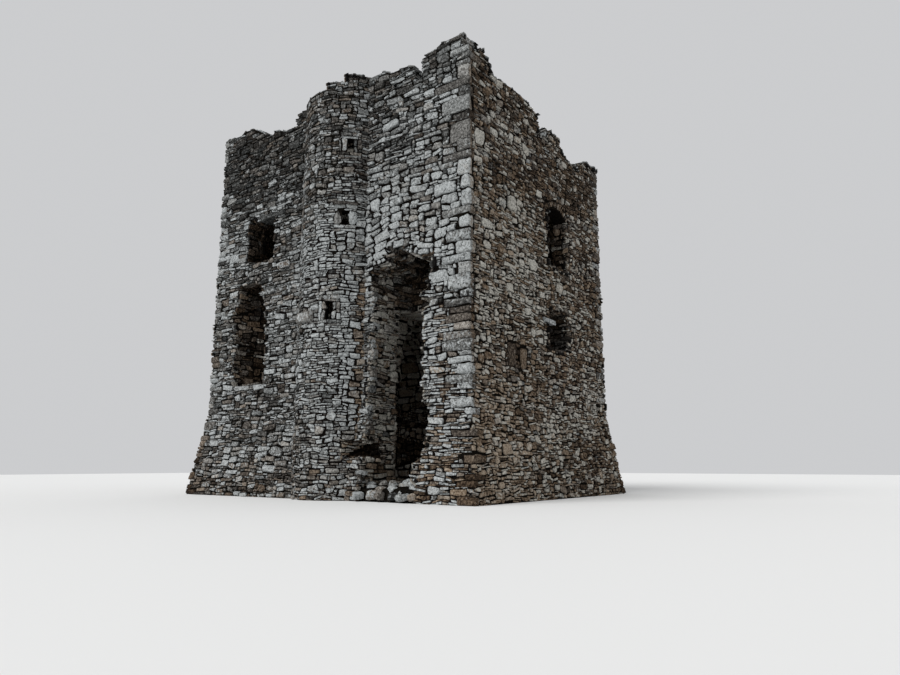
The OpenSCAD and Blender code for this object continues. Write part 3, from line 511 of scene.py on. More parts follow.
def set_out(free, low, look, place, dice, whole, first=()):
    """Fills the free cells with stones, lowest row first. Each row of look["stones"] is
    a kind: its chance, its least and most height and its least and most length. The
    stones listed in first are set before the others, and those at the edge of the whole
    face end raggedly, but for the stretches listed in look["even"]."""
    nv, nu = free.shape
    taken = ~free
    kinds = look["stones"]
    u, v = cell_middles(low, free.shape)
    coarse = 0.6 * ripple(u, v, look["seed"], 1.5)
    if look["coarse"]:
        coarse = coarse + look["coarse"](place(u, v, 0 * u))
    chance = np.array([kind[0] for kind in kinds])
    slope = np.linspace(-1, 1, len(kinds))
    stones = []
    asked = (np.array(first).reshape(-1, 4) - low[[0, 0, 1, 1]]) / CELL
    for c0, c1, r0, r1 in np.clip(np.round(asked).astype(int), 0, [nu, nu, nv, nv]):
        if c1 - c0 >= LEAST_W and r1 - r0 > LEAST_H and taken[r0:r1, c0:c1].mean() < 0.08:
            taken[r0:r1, c0:c1] = True
            stones.append((c0, c1, r0, r1))
    for r in range(nv):
        row, c = taken[r], 0
        while not row[c:].all():
            c += int(np.argmin(row[c:]))
            run = int(np.argmax(np.append(row[c:], True)))
            odds = np.cumsum(chance * np.exp(1.3 * coarse[r, c] * slope))
            kind = kinds[int(np.searchsorted(odds, dice.random() * odds[-1]))]
            h = max(LEAST_H, int(round(dice.uniform(kind[1], kind[2]) / CELL)))
            w = max(LEAST_W, int(round(dice.uniform(kind[3], kind[4]) / CELL)))
            if run - w <= LEAST_W:
                w = run if run <= 1.7 * w else run // 2
            w = max(1, min(w, run))
            h = max(LEAST_H, min(h, w))
            if c > 0 and row[c - 1]:
                beside = int(np.argmin(taken[r:, c - 1]))
                if beside and abs(beside - h) <= 2:
                    h = beside
            block = taken[r:r + h, c:c + w].any(axis=1)
            if block.any():
                h = int(np.argmax(block))
            else:
                above = taken[r + h:r + h + 2, c:c + w].any(axis=1)
                if above.any():
                    h += int(np.argmax(above))
            h = max(1, min(h, nv - r))
            taken[r:r + h, c:c + w] = True
            if w >= LEAST_W and h >= LEAST_H and (w * h > NEVER_LOST or dice.random() > look["lost"]):
                stones.append((c, c + w, r, r + h))
            c += w
    stones = np.array(stones, dtype=int).reshape(-1, 4)
    edge = np.pad(~whole, 1, constant_values=True)
    c0, c1, r0, r1 = stones.T
    mid_c, mid_r = (c0 + c1) // 2 + 1, (r0 + r1) // 2 + 1
    at_edge = np.stack([edge[mid_r, c0], edge[mid_r, c1 + 1], edge[r0, mid_c], edge[r1 + 1, mid_c]], axis=1)
    stones = stones * CELL + np.array([low[0], low[0], low[1], low[1]])
    at_edge[:, 2] &= stones[:, 2] > 0.4
    reach = look["ragged"] * np.array([-1, 1, -0.7, 0.5]) * dice.uniform(-0.8, 1, (len(stones), 4))
    reach[:, :2] *= np.minimum(1, (stones[:, 1] - stones[:, 0]) / 0.25)[:, None]
    reach[:, 2:] *= np.minimum(1, (stones[:, 3] - stones[:, 2]) / 0.12)[:, None]
    for u0, u1, v0 in look["even"]:
        reach[(stones[:, 1] > u0) & (stones[:, 0] < u1) & (stones[:, 3] > v0)] *= 0
    return stones + at_edge * reach


def cut_stones(stones, place, look, dice, mids, layers):
    """Shapes a batch of stones in their cells. mids is the number of points along a side between its corners,
    and a layer is (inset, height, how much light and lichen reach it, where below 1 the colour is darkened as
    painted shade and dirt in the joint)."""
    n = len(stones)
    u0, u1, v0, v1 = stones.T
    small = np.minimum(u1 - u0, v1 - v0)
    joint = np.minimum(look["joint"] * dice.uniform(0.1, 1.0, (n, 4)), 0.16 * small[:, None])
    sides = stones + joint * [1, -1, 1, -1]
    slack = np.minimum(look["broken"] * small, 0.07)[:, None]
    cu = sides[:, [0, 1, 1, 0]] + [1, -1, -1, 1] * slack * dice.random((n, 4)) ** 2
    cv = sides[:, [2, 2, 3, 3]] + [1, 1, -1, -1] * slack * 0.8 * dice.random((n, 4)) ** 2.5
    corner = np.stack([cu, cv], axis=2)
    radius = small[:, None, None] * dice.uniform(0.06, look["round"], (n, 4, 1))
    ends = []
    for other in (np.roll(corner, 1, axis=1), np.roll(corner, -1, axis=1)):
        step = other - corner
        span = np.linalg.norm(step, axis=2, keepdims=True)
        ends.append(corner + step * np.minimum(radius / np.maximum(span, 1e-6), 0.4))
    start, end = ends
    ring = np.stack([start, end], axis=2)
    if mids:
        share = (np.arange(1, mids + 1) / (mids + 1))[None, None, :, None]
        between = end[:, :, None] * (1 - share) + np.roll(start, -1, axis=1)[:, :, None] * share
        ring = np.concatenate([ring, between], axis=2)
    k = 4 * (2 + mids)
    ring = ring.reshape(n, k, 2)
    ring = ring + np.minimum(look["chip"], 0.05 * small[:, None, None]) * dice.normal(0, 1, (n, k, 2))
    centre = ring.mean(axis=1, keepdims=True)
    turn = dice.normal(0, look["turn"], n)[:, None]
    if look["lean"]:
        turn = turn + look["lean"](place(*centre[:, 0].T, np.zeros(n)))[:, None]
    du, dv = (ring - centre)[:, :, 0], (ring - centre)[:, :, 1]
    cos, sin = np.cos(turn), np.sin(turn)
    ring = centre + np.stack([du * cos - dv * sin, du * sin + dv * cos], axis=2)
    flow = np.stack([
        ripple(*ring.T, look["seed"] + 1, 0.5).T + 0.5 * ripple(*ring.T, look["seed"] + 2, 0.22).T,
        0.8 * ripple(*ring.T, look["seed"] + 3, 0.6).T + 0.35 * ripple(*ring.T, look["seed"] + 4, 0.25).T,
    ], axis=2)
    ring = ring + look["sway"] * flow
    centre = ring.mean(axis=1, keepdims=True)
    half = np.stack([(u1 - u0) / 2, (v1 - v0) / 2], axis=1)[:, None, :]
    size = np.minimum(1, small / 0.14)
    proud = look["proud"] * dice.uniform(0.25, 1.3, n) * (0.6 + 0.4 * size)
    tilt = (dice.normal(0, look["tilt"], (n, 2)) * np.minimum(1, 0.12 / small)[:, None])[:, None, :]
    grit = look["rough"] * np.minimum(small / 0.12, 1.8)
    flat, high, light = [], [], []
    for inset, height, reach in layers:
        shrink = np.clip(1 - inset * size[:, None, None] / half, 0.2, 1)
        level = centre + (ring - centre) * shrink
        if height is None:
            rise = np.full((n, k), -look["bed"])
        else:
            rise = proud[:, None] + height * size[:, None] + ((level - centre) * tilt).sum(axis=2)
            rise = rise + grit[:, None] * dice.normal(0, 1, (n, k))
            level = level + 0.6 * grit[:, None, None] * dice.normal(0, 1, (n, k, 2))
        flat.append(level)
        high.append(rise)
        light.append(np.full((n, k), reach))
    flat.append(centre)
    high.append((proud + layers[-1][1] * size + grit * dice.normal(0.4, 1, n))[:, None])
    light.append(np.ones((n, 1)))
    flat, high, light = (np.concatenate(parts, axis=1) for parts in (flat, high, light))
    points = place(flat[:, :, 0], flat[:, :, 1], high)
    per = points.shape[1]
    base = np.arange(n)[:, None, None] * per
    loop = np.arange(k)
    after = (loop + 1) % k
    quads = np.concatenate([
        np.stack([a + loop, a + after, a + k + after, a + k + loop], axis=1)
        for a in range(0, (len(layers) - 1) * k, k)
    ])
    last = (len(layers) - 1) * k
    fan = np.stack([last + loop, last + after, np.full(k, per - 1)], axis=1)
    faces = [
        (base + quads[None]).reshape(-1, 4), (base + fan[None]).reshape(-1, 3),
        (base[:, :, 0] + loop[::-1][None]).reshape(-1, k),
    ]
    middle = points[:, -1]
    tone, pale, warm = weather_and_depth_shade(middle, small, look, dice)
    key = np.stack([np.repeat(c[:, None], per, axis=1) for c in (tone, pale, warm)] + [light], axis=2)
    return points.reshape(-1, 3), faces, key.reshape(-1, 4)


# The layers of a small, a middling and a large stone, from its bed in the wall outwards. The last value of
# each layer is how much of the stone's colour shows there; below 1 it is darkened by painted shade and dirt
# in the joint.
CHIP = [(0, None, -0.9), (0.003, -0.004, 0.95)]
SLIM = [(0, None, -0.9), (0, -0.015, 0.75), (0.010, 0.0, 1.0)]
FULL = [(0, None, -0.9), (0, -0.024, 0.65), (0.012, -0.006, 1.0), (0.040, 0.006, 1.0)]


def lay(stones, place, look, dice):
    """Cuts small stones with few faces and large ones with more."""
    batches = []
    if not len(stones):
        return batches
    small = np.minimum(stones[:, 1] - stones[:, 0], stones[:, 3] - stones[:, 2])
    coarse = look["coarse_cut"]
    limits = (0, 0.09 + coarse, 0.15 + 2 * coarse, 0.23 + 3 * coarse, math.inf)
    for least, most, mids, layers in zip(limits, limits[1:], (0, 0, 1, 2), (CHIP, SLIM, SLIM, FULL)):
        pick = (small >= least) & (small < most)
        if pick.any():
            batches.append(cut_stones(stones[pick], place, look, dice, mids, layers))
    return batches


def build_up(free, low, place, look, dice, whole, first=()):
    """Sets out the stones of a face and cuts them."""
    return lay(set_out(free, low, look, place, dice, whole, first), place, look, dice)


def compass(normal):
    """Directions along and up a flat face."""
    up = np.array([0, 0, 1.0]) if abs(normal[2]) < 0.8 else np.array([0, 1.0, 0])
    up = up - normal * up.dot(normal)
    up /= np.linalg.norm(up)
    return np.cross(up, normal), up


def flat_panels(kinds):
    """Number, free cells, whole face, first corner and mapping of each flat face of some
    kinds. Faces of less than a least area get no stones."""
    least_area, touching = 0.02, 0.004
    chosen = np.isin(face_kind, kinds) & ~dressed_tri
    label = np.column_stack([np.round(normals * 50), np.round(offsets * 200)]).astype(int)
    _, group = np.unique(label, axis=0, return_inverse=True)
    group = group.ravel()
    for number in np.unique(group[chosen]):
        mine = chosen & (group == number)
        if tri_sizes[mine].sum() < least_area:
            continue
        normal, offset = normals[mine][0], float(offsets[mine][0])
        along, up = compass(normal)
        axes = np.stack([along, up], axis=1)
        low, shape = grid_over(tris[mine] @ axes)
        free = cover(tris[mine] @ axes, low, shape)
        facing = (normals @ normal < -0.9995) & (np.abs(offsets + offset) < touching)
        kept = (group == number) & dressed_tri
        closed = cover(tris[facing] @ axes, low, shape) | cover(tris[kept] @ axes, low, shape)

        def place(u, v, n):
            return u[..., None] * along + v[..., None] * up + (offset + n)[..., None] * normal

        yield number, widen(free & ~closed, 2) & ~closed, widen(free | closed, 2), low, place


def near_corner_coarse(p):
    """Larger stones over the breach and beside the near corner, smaller ones elsewhere."""
    s, z = near_x - p[..., 0], p[..., 2]
    over = fade(s, 3.9, -0.6) * fade(z, 4.6, 0.8) * fade(z, 9.3, -1.2)
    corner = fade(s, 1.5, -0.7) * fade(z, 5, 1.5)
    pier = fade(s, 1.7, -0.3) * fade(z, 5.0, -0.6)
    return 2.1 * np.maximum(over, 0.6 * corner) - 0.9 * pier - 0.05


def over_breach_lean(p):
    """How far the beds turn over the head of the breach, where stones lean on each other."""
    s, z = near_x - p[:, 0], p[:, 2]
    left = fade(s, 3.7, -0.2) * fade(s, 2.35, 0.3)
    right = fade(s, 2.2, -0.3) * fade(s, 1.0, 0.4)
    return fade(z, 5.9, 0.3) * fade(z, 8.4, -1.0) * (0.34 * left - 0.14 * right)


# The largest stones of the front, each by its two ends from the near corner, bottom and top.
big_stones = [
    (2.82, 3.44, 6.30, 6.76), (2.57, 3.07, 6.61, 6.83), (2.74, 3.19, 6.94, 7.12), (2.37, 2.81, 6.78, 7.00),
    (1.51, 2.08, 6.53, 6.85), (0.94, 1.61, 6.29, 6.61), (0.60, 0.89, 6.32, 6.53), (0.87, 1.15, 6.07, 6.26),
    (0.60, 1.32, 5.55, 6.01), (1.07, 1.56, 5.28, 5.51), (0.08, 0.87, 10.14, 10.71),
    (1.49, 1.83, 10.43, 10.64), (0.50, 0.99, 9.94, 10.26), (0.97, 1.53, 10.18, 10.53),
    (2.95, 3.35, 11.20, 11.56), (2.19, 2.88, 11.11, 11.46), (2.12, 2.77, 11.70, 12.00),
    (0.83, 1.24, 9.47, 9.79), (0.83, 1.24, 8.35, 8.77), (0.34, 1.13, 7.86, 8.38), (0.10, 0.73, 6.58, 6.95),
    (2.99, 3.45, 7.98, 8.52),
]


def among(s, z, stones):
    """True for what lies in one of the listed stones."""
    found = np.zeros(len(s), dtype=bool)
    for s0, s1, z0, z1 in stones:
        found |= (s > s0) & (s < s1) & (z > z0) & (z < z1)
    return found


def front_patches(p):
    """The left of the front is darker, most of all near its top, the stones over the
    breach are pale, and the pier under the near corner is brown between pale stones."""
    s, z = near_x - p[:, 0], p[:, 2]
    left = fade(s, 2.8, 1.5)
    dark = left * (0.7 + 1.2 * fade(z, 8.2, 2.2)) + 1.2 * fade(z, 8.4, 1.5)
    over = fade(s, 3.6, -0.6) * fade(z, 5, 0.8) * fade(z, 8.6, -1.2)
    pier = fade(s, 1.9, -0.3) * fade(z, 5.2, -0.5)
    white = pier * (ripple(s, z, 771, 0.12) > 0.2) + pier * (s > 1.02) * fade(z, 1.2, 1)
    white = np.clip(white, 0, 1)
    brown = pier * (1 - white)
    large = among(s, z, big_stones)
    tone = 0.12 * over - 0.10 * dark + 0.12 * white - 0.01 * brown + 0.08 * large
    pale = 0.36 * over - 0.2 * dark + 0.45 * white - 0.3 * brown + 0.15 * large
    return tone, pale, 0.05 * left + 0.6 * brown - 0.3 * large


def face_walls(kinds, look, first=()):
    """Lays the stones of all the flat faces of some kinds."""
    batches = []
    for number, free, whole, low, place in flat_panels(kinds):
        dice = np.random.default_rng(look["seed"] * 1000 + int(number))
        u, v = cell_middles(low, free.shape)
        free &= off_the_corners(place(u, v, 0 * u))
        batches += build_up(free, low, place, look, dice, whole, first)
    return batches


FRONT = dict(
    RUBBLE, coarse=near_corner_coarse, patches=front_patches, lean=over_breach_lean,
    even=[(near_x - 1.95, near_x - 1.45, 11.3)], stones=(
        (0.24, 0.035, 0.06, 0.14, 0.36), (0.36, 0.06, 0.10, 0.14, 0.36), (0.28, 0.10, 0.15, 0.20, 0.46),
        (0.11, 0.15, 0.21, 0.30, 0.58), (0.02, 0.22, 0.32, 0.40, 0.70),
    ),
)
first = [(near_x - s1 + 0.02, near_x - s0 - 0.02, z0 + 0.02, z1 - 0.12) for s0, s1, z0, z1 in big_stones]
raise_piece("front_facing", face_walls(["front"], FRONT, first), front_stone)

# Stair turret: the same rubble, picked smaller so that it follows the round face, and
# laid in mortar round the well. Its flank beside the breach has lost its facing and
# shows the brown broken stones behind it.
def round_panel(mine, centre, radius, axis, sign):
    """Free cells, first corner and mapping of a round face. axis 2 is a drum's, with u
    round it and v up it, and axis 0 is a barrel vault's. sign is 1 for an outer face and
    -1 for an inner one."""
    x, y, z = np.moveaxis(tris[mine], 2, 0)
    if axis == 2:
        angle = np.arctan2(x - centre[0], centre[1] - y)
        swing = angle[:, 1:] - angle[:, :1]
        angle[:, 1:] -= 2 * math.pi * np.round(swing / (2 * math.pi))
        flat = np.stack([sign * angle * radius, z], axis=2)
    else:
        flat = np.stack([-x, np.arctan2(y - centre[0], z - centre[1]) * radius], axis=2)
    low, shape = grid_over(flat)

    def place(u, v, n):
        reach = radius + sign * n
        if axis == 2:
            turn = sign * u / radius
            across, deep = centre[0] + reach * np.sin(turn), centre[1] - reach * np.cos(turn)
            return np.stack([across, deep, v + 0 * u], axis=-1)
        turn = v / radius
        deep, high = centre[0] + reach * np.sin(turn), centre[1] + reach * np.cos(turn)
        return np.stack([-u + 0 * v, deep, high], axis=-1)

    return cover(flat, low, shape), low, place


def beside_breach(turn, z):
    """The arris of the turret beside the breach, by the angle round it."""
    return np.clip(1.6 - np.abs(turn - 0.84) / 0.1, 0, 1) * fade(z, 6.6, -0.3)


def turret_patches(p):
    """Brown and broken on the flank beside the breach, pale along its arris, and darker
    on its left side and near the top."""
    turn, z = np.arctan2(p[:, 0] - turret_x, turret_y - p[:, 1]), p[:, 2]
    flank = fade(turn, 0.98, 0.05) * fade(z, 6.4, -0.6)
    arris = beside_breach(turn, z) * fade(z, 1.6, 1)
    left = fade(turn, 0.2, -0.9) + 2.2 * fade(z, 8.0, 2)
    tone = 0.18 * arris + 0.03 * flank - 0.09 * left
    return tone, 0.6 * arris - 0.35 * flank - 0.17 * left, 0.8 * flank - 0.2 * arris + 0.06 * left


def turret_coarse(p):
    """Larger stones along the arris beside the breach."""
    return 1.6 * beside_breach(np.arctan2(p[..., 0] - turret_x, turret_y - p[..., 1]), p[..., 2])


TURRET = dict(
    RUBBLE, seed=19, proud=0.04, tone=0.52, pale=0.54, coarse=turret_coarse, patches=turret_patches, stones=(
        (0.32, 0.045, 0.07, 0.14, 0.32), (0.42, 0.06, 0.10, 0.13, 0.30), (0.22, 0.10, 0.15, 0.18, 0.36),
        (0.04, 0.15, 0.22, 0.24, 0.38),
    ),
)
free, low, on_turret = round_panel(
    (face_kind == "turret") & ~dressed_tri, (turret_x, turret_y), turret_r, 2, 1
)
batches = build_up(free, low, on_turret, TURRET, np.random.default_rng(1900), widen(free, 16))
raise_piece("turret_facing", batches, front_stone)

# Slits of the stair turret: one or two upright stones on each side, thin flat stones
# laid over and under them, and small rubble packed round these. None of them is cut.
slits = []
for name in ("low_slit", "middle_slit", "high_slit"):
    low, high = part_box(name)
    middle = (low + high) / 2
    slits.append((math.atan2(middle[0] - turret_x, turret_y - middle[1]) * turret_r, low[2], high[2]))
slit_w, slit_stone_h, slit_frame_w = 0.165, 0.17, 0.62
# For each slit, the left and the right jamb: its width, the share of its height that its
# lower stone takes, and how pale it is.
slit_jambs = (
    ((0.14, 0.55, 0.4), (0.12, 0.5, 0.5)),
    ((0.23, 1, 0.1), (0.27, 1, 0.8)),
    ((0.16, 1, 0.8), (0.10, 0.45, 0.6)),
)
SLIT = dict(TURRET, joint=0.009, broken=0.2, turn=0.02, tilt=0.05, bed=0.2)
batches = []
for number, ((u, low_z, high_z), jambs) in enumerate(zip(slits, slit_jambs)):
    dice = np.random.default_rng(1910 + number)
    half, open_half = slit_frame_w / 2 + 0.015, slit_w / 2
    sill, head = low_z + slit_stone_h, high_z - slit_stone_h
    packing = []
    for side, (width, split, paleness) in zip((-1, 1), jambs):
        split = sill + (head - sill) * split
        look = dict(SLIT, tone=0.40 + 0.2 * paleness, pale=paleness, pale_spread=0.08, round=0.45)
        ends = sorted((u + side * open_half, u + side * (open_half + width)))
        stones = [(*ends, a, b) for a, b in ((sill, split), (split, head)) if b - a > 0.02]
        batches += lay(np.array(stones), on_turret, look, dice)
        if half - open_half - width > 0.03:
            rest = sorted((u + side * (open_half + width), u + side * half))
            packing += [(*rest, sill, split - 0.08), (*rest, split - 0.08, head)]
    mid = dice.uniform(-0.08, 0.08)
    # Ends beside the slit's middle, bottom and top of the stones over it and under it.
    for left, right, bottom, top in (
        (-0.24, 0.22, head, head + 0.06), (-half, -0.24, head, head + 0.09), (0.22, half, head, head + 0.07),
        (-half, mid, head + 0.06, high_z + 0.015), (mid, half, head + 0.06, high_z + 0.015),
        (-half, mid - 0.05, low_z + 0.08, sill), (mid - 0.05, half, low_z + 0.06, sill),
        (-half, -mid - 0.1, low_z - 0.015, low_z + 0.08), (-mid - 0.1, half, low_z - 0.015, low_z + 0.06),
    ):
        packing.append((u + left, u + right, bottom, top))
    batches += lay(np.array(packing), on_turret, SLIT, dice)
raise_piece("slit_stones", batches, front_stone)

# Single slabs: thin lintels and ledge stones, each one long flat stone built into the
# wall, left standing where the masonry under it has gone.
def own_frame(name):
    """First and last corner of a slab that lies level, along its own axes, and these."""
    mine = tri_names == name
    side = mine & (np.abs(normals[:, 2]) < 0.1)
    areas = {}
    for normal, size in zip(np.round(normals[side], 3), tri_sizes[side]):
        areas[tuple(normal)] = areas.get(tuple(normal), 0) + size
    front = np.array(max(areas, key=areas.get))
    front[2] = 0
    front /= np.linalg.norm(front)
    along = np.cross([0, 0, 1.0], front)
    axes = np.stack([along, front, [0, 0, 1.0]], axis=1)
    spans = tris[mine].reshape(-1, 3) @ axes
    return spans.min(axis=0), spans.max(axis=0), axes


SLAB = dict(FRONT, seed=89, tone=0.48, pale=0.4, rough=0.008, block_round=(0.2, 0.45), block_broken=0.09)
for number, name in enumerate((
    "hall_window_lintel", "loft_gap_slab", "side_opening_slab", "turret_ledge", "middle_slit_hood",
    "back_window_lintel",
)):
    low, high, axes = own_frame(name)
    dice = np.random.default_rng(500 + number)
    batch = cut_blocks(low[None], high[None], SLAB, dice, lambda p: p @ axes.T)
    slab = raise_piece(name + "_stone", [batch], front_stone, 50)
    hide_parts(name)

# Sides of the breach: the broken core of the wall, brown rubble and old mortar, left
# when the facing fell. A few pale blocks of the front still hold along its left edge.
side_stone = paint_stone("side_stone", (0.59, 0.57, 0.51))


def breach_head_shade(p):
    """Painted shade under the head of the breach: the stones there are darker."""
    head = fade(p[:, 2], 5.3, 0.5)
    return -0.3 * head, -0.5 * head, 0


BREACH = dict(
    RUBBLE, seed=42, proud=0.07, warm=0.7, warm_spread=0.3, tone=0.62, pale=0.46, dim=(1.1, 0.6), flecks=0.15,
    patches=breach_head_shade, stones=FRONT["stones"][:4],
)
raise_piece("breach_facing", face_walls(["breach"], BREACH), side_stone)
jamb_edge = tris[tri_names == "breach_left_jamb"].reshape(-1, 3)[:, 0].max()
dice = np.random.default_rng(620)
z, low, high = 0.45, [], []
while z < 5.9:
    rise = dice.uniform(0.09, 0.22)
    if dice.random() < 0.6 and not 0.95 < z < 1.6:
        reach, wide = dice.uniform(0.10, 0.24), dice.uniform(0.10, 0.20)
        low.append([jamb_edge - wide, near_y - stand_out(z) - dice.uniform(0.0, 0.05), z + 0.02])
        high.append([jamb_edge + dice.uniform(0.0, 0.07), near_y - stand_out(z) + reach, z + rise - 0.02])
    z += rise
EDGING = dict(
    FRONT, seed=43, tone=0.52, pale=0.55, dim=(0.8, 0.6), rough=0.009, block_round=(0.3, 0.6),
    block_broken=0.16,
)
blocks = cut_blocks(np.array(low), np.array(high), EDGING, dice)
raise_piece("jamb_stones", [blocks], front_stone, 50)

# Fallen stones: rounded pale blocks from the face above, lying loose in a low heap that
# fills the foot of the breach and slopes down inwards.
heap_low, heap_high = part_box("breach_rubble")
HEAP = dict(
    FRONT, seed=97, tone=0.56, pale=0.58, pale_spread=0.3, damp=0.2, dim=(0.7, 0.6), rough=0.004,
    block_round=(0.45, 0.8), block_broken=0.12,
)
dice = np.random.default_rng(600)
heap = []
for row, y in enumerate(np.arange(near_y - 0.36, near_y + 1.5, 0.25)):
    top = np.interp(y - near_y, [-0.36, -0.11, 0.14, 0.7, 1.3], [0.13, 0.26, 0.38, 0.37, 0.2])
    for x in np.arange(heap_low[0] + 0.12 + 0.18 * (row % 2), heap_high[0], 0.36):
        heap.append((x, y, top))
heap = np.array(heap) + dice.uniform(-1, 1, (len(heap), 3)) * [0.06, 0.05, 0.04]
size = dice.uniform(0.095, 0.155, (len(heap), 3)) * [1.15, 1.0, 0.85]
turns = dice.uniform(-0.6, 0.6, (len(heap), 3))
batches = []
for (x, y, z), half, turn in zip(heap, size, turns):
    cos, sin = math.cos(turn[2]), math.sin(turn[2])
    tip = np.array([[1, 0, 0.5 * turn[0]], [0, 1, 0.5 * turn[1]], [-0.5 * turn[0], -0.5 * turn[1], 1]])
    spin = np.array([[cos, sin, 0], [-sin, cos, 0], [0, 0, 1]])
    lift = max(z, half[2] + 0.05)
    batches.append(cut_blocks(-half[None], half[None], HEAP, dice, lambda p: p @ tip @ spin + [x, y, lift]))
raise_piece("fallen_stones", batches, front_stone, 60)

# Right-hand wall: smaller and browner rubble than the front, mottled with grey lichen,
# in deep dark joints. It is built in the same way and bonded at both corners.
# The pale stones stand first, each by its two ends from the near corner, bottom and top.
pale_stones = [
    (0.23, 0.73, 9.29, 9.79), (1.06, 1.43, 9.84, 10.11), (1.98, 2.30, 10.05, 10.34), (1.84, 2.36, 7.95, 8.40),
    (0.54, 1.01, 7.03, 7.31), (1.23, 1.53, 7.01, 7.18), (0.64, 0.97, 6.49, 6.74), (0.38, 0.66, 7.98, 8.15),
    (3.56, 3.87, 8.90, 9.13), (1.38, 1.80, 7.88, 8.18), (3.04, 3.49, 6.44, 6.84), (2.69, 3.09, 5.09, 5.33),
    (0.26, 0.44, 3.91, 4.11), (0.46, 0.69, 3.96, 4.16), (0.73, 0.97, 3.99, 4.18), (1.48, 1.76, 5.97, 6.17),
    (1.00, 1.25, 10.36, 10.60),
]


def side_patches(p):
    """Rusty and bare low beside the near corner, paler in the middle of its height, with
    a few large stones that are pale all over."""
    s, z = p[:, 1] - near_y, p[:, 2]
    rust = fade(z, 3.8, -1.5) * fade(s, 3, -1.5)
    middle = np.clip(1 - np.abs(z - 6.5) / 3, 0, 1) * fade(s, 4.5, -2)
    pale = among(s, z, pale_stones)
    dark = np.maximum(fade(z, 8.0, 2), fade(s, 4.6, 1.2) * fade(z, 5.5, 2))
    tone = 0.30 * rust + 0.09 * middle - 0.13 * dark + 0.16 * pale
    return tone, 0.10 * middle - 0.10 * rust - 0.14 * dark + 0.5 * pale, 0.25 * rust - 0.7 * pale


SIDE = dict(
    RUBBLE, seed=23, tone=0.44, pale=0.24, pale_spread=0.22, warm=0.95, warm_spread=0.25, flecks=0.30,
    damp=0.3, joint=0.010, broken=0.35, turn=0.08, sway=0.03, proud=0.045, patches=side_patches, stones=(
        (0.32, 0.045, 0.07, 0.14, 0.34), (0.40, 0.06, 0.10, 0.12, 0.28), (0.23, 0.10, 0.16, 0.14, 0.30),
        (0.05, 0.15, 0.22, 0.20, 0.38), (0.004, 0.24, 0.32, 0.35, 0.50),
    ),
)
side_big = [(near_y + s0, near_y + s1, z0, z1) for s0, s1, z0, z1 in pale_stones]
raise_piece("right_facing", face_walls(["right"], SIDE, side_big), side_stone)

# Back and left-hand walls: the same brown rubble, in somewhat larger stones, split and
# laid flat in rough courses on the wall's core.
PLAIN = (
    (0.20, 0.07, 0.11, 0.20, 0.42), (0.46, 0.11, 0.18, 0.18, 0.42), (0.28, 0.17, 0.26, 0.28, 0.54),
    (0.04, 0.26, 0.40, 0.40, 0.75),
)
BACK = dict(
    SIDE, seed=31, tone_spread=0.15, pale=0.32, flecks=0.12, patches=None, turn=0.045, sway=0.024,
    stones=PLAIN, coarse_cut=0.10,
)
raise_piece("back_facing", face_walls(["back"], BACK), side_stone)
raise_piece("left_facing", face_walls(["left"], dict(BACK, seed=37)), side_stone)

# Arches of the tall windows: thin stones on edge, set fan-wise over the opening and
# held by their wedge shape and the mortar between them.
def fit_circle(y, z):
    """Centre and radius of a circle through points."""
    a = np.column_stack([y, z, np.ones(len(y))])
    fit = np.linalg.lstsq(a, y ** 2 + z ** 2, rcond=None)[0]
    cy, cz = fit[0] / 2, fit[1] / 2
    return cy, cz, math.sqrt(fit[2] + cy * cy + cz * cz)


def arch_panel(name, sign):
    """Half an arch's length, its depth and its mapping from the ring."""
    mine = tri_names == name
    _, y, z = tris[mine & (normals[:, 2] < -0.3) & (np.abs(normals[:, 0]) < 0.01)].reshape(-1, 3).T
    cy, cz, radius = fit_circle(y, z)
    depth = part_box(name)[1][2] - (cz + radius)
    face = near_x if sign > 0 else far_x
    mid = radius + depth / 2

    def place(u, v, n):
        turn, reach = u / mid, radius + v
        out = face + sign * (n + 0 * u)
        return np.stack([out, cy + sign * reach * np.sin(turn), cz + reach * np.cos(turn)], axis=-1)

    return np.abs(np.arctan2(y - cy, z - cz)).max() * mid, depth, place


WEDGE = dict(SLIT, tone=0.36, pale=0.15, warm=0.8, broken=0.35, turn=0.05, sway=0, proud=0.03, patches=None)
for name, sign in (("tall_window_arch", 1), ("left_window_arch", -1)):
    half, depth, place = arch_panel(name, sign)
    dice = np.random.default_rng(700 + sign)
    edges = np.cumsum(dice.uniform(0.075, 0.13, 40))
    edges = np.concatenate([[0], edges[edges < 2 * half - 0.05], [2 * half]]) - half
    wedges = [(a, b, dice.uniform(0, 0.02), depth - dice.uniform(0, 0.05)) for a, b in zip(edges, edges[1:])]
    batches = lay(np.array(wedges), place, WEDGE, dice)
    raise_piece(name + "_stones", batches, side_stone)

# Blocked slit: two upright brown stones with a rubble filling built up between them
# from the inside, set back a little from the face.
low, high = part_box("blocked_slit")
mid, half, tall = (low[1] + high[1]) / 2, (high[1] - low[1]) / 2, high[2] - low[2]
gap_half = 0.13
jambs = (
    (-half, -gap_half, 0, tall), (gap_half, half, 0, tall - 0.03),
    (-gap_half, gap_half, tall - 0.1, tall), (-gap_half, gap_half, 0, 0.1),
)
fill = (
    (-0.14, 0.02, 0.09, 0.24), (0.02, 0.14, 0.09, 0.2), (0.02, 0.14, 0.2, 0.24),
    (-0.14, 0.14, 0.24, 0.38), (-0.14, 0.04, 0.38, tall - 0.09), (0.04, 0.14, 0.38, tall - 0.15),
)
INFILL = dict(SLIT, tone=0.30, pale=0.0, pale_spread=0.1, warm=0.9, sway=0, patches=None)
dice = np.random.default_rng(710)
batches = []
for stones, back in ((jambs, 0), (fill, 0.05)):
    batches += lay(
        np.array(stones) + [mid, mid, low[2], low[2]],
        lambda u, v, n: np.stack([near_x + n - back + 0 * u, u + 0 * v, v + 0 * u], axis=-1),
        INFILL, dice,
    )
raise_piece("blocked_slit_stones", batches, side_stone)
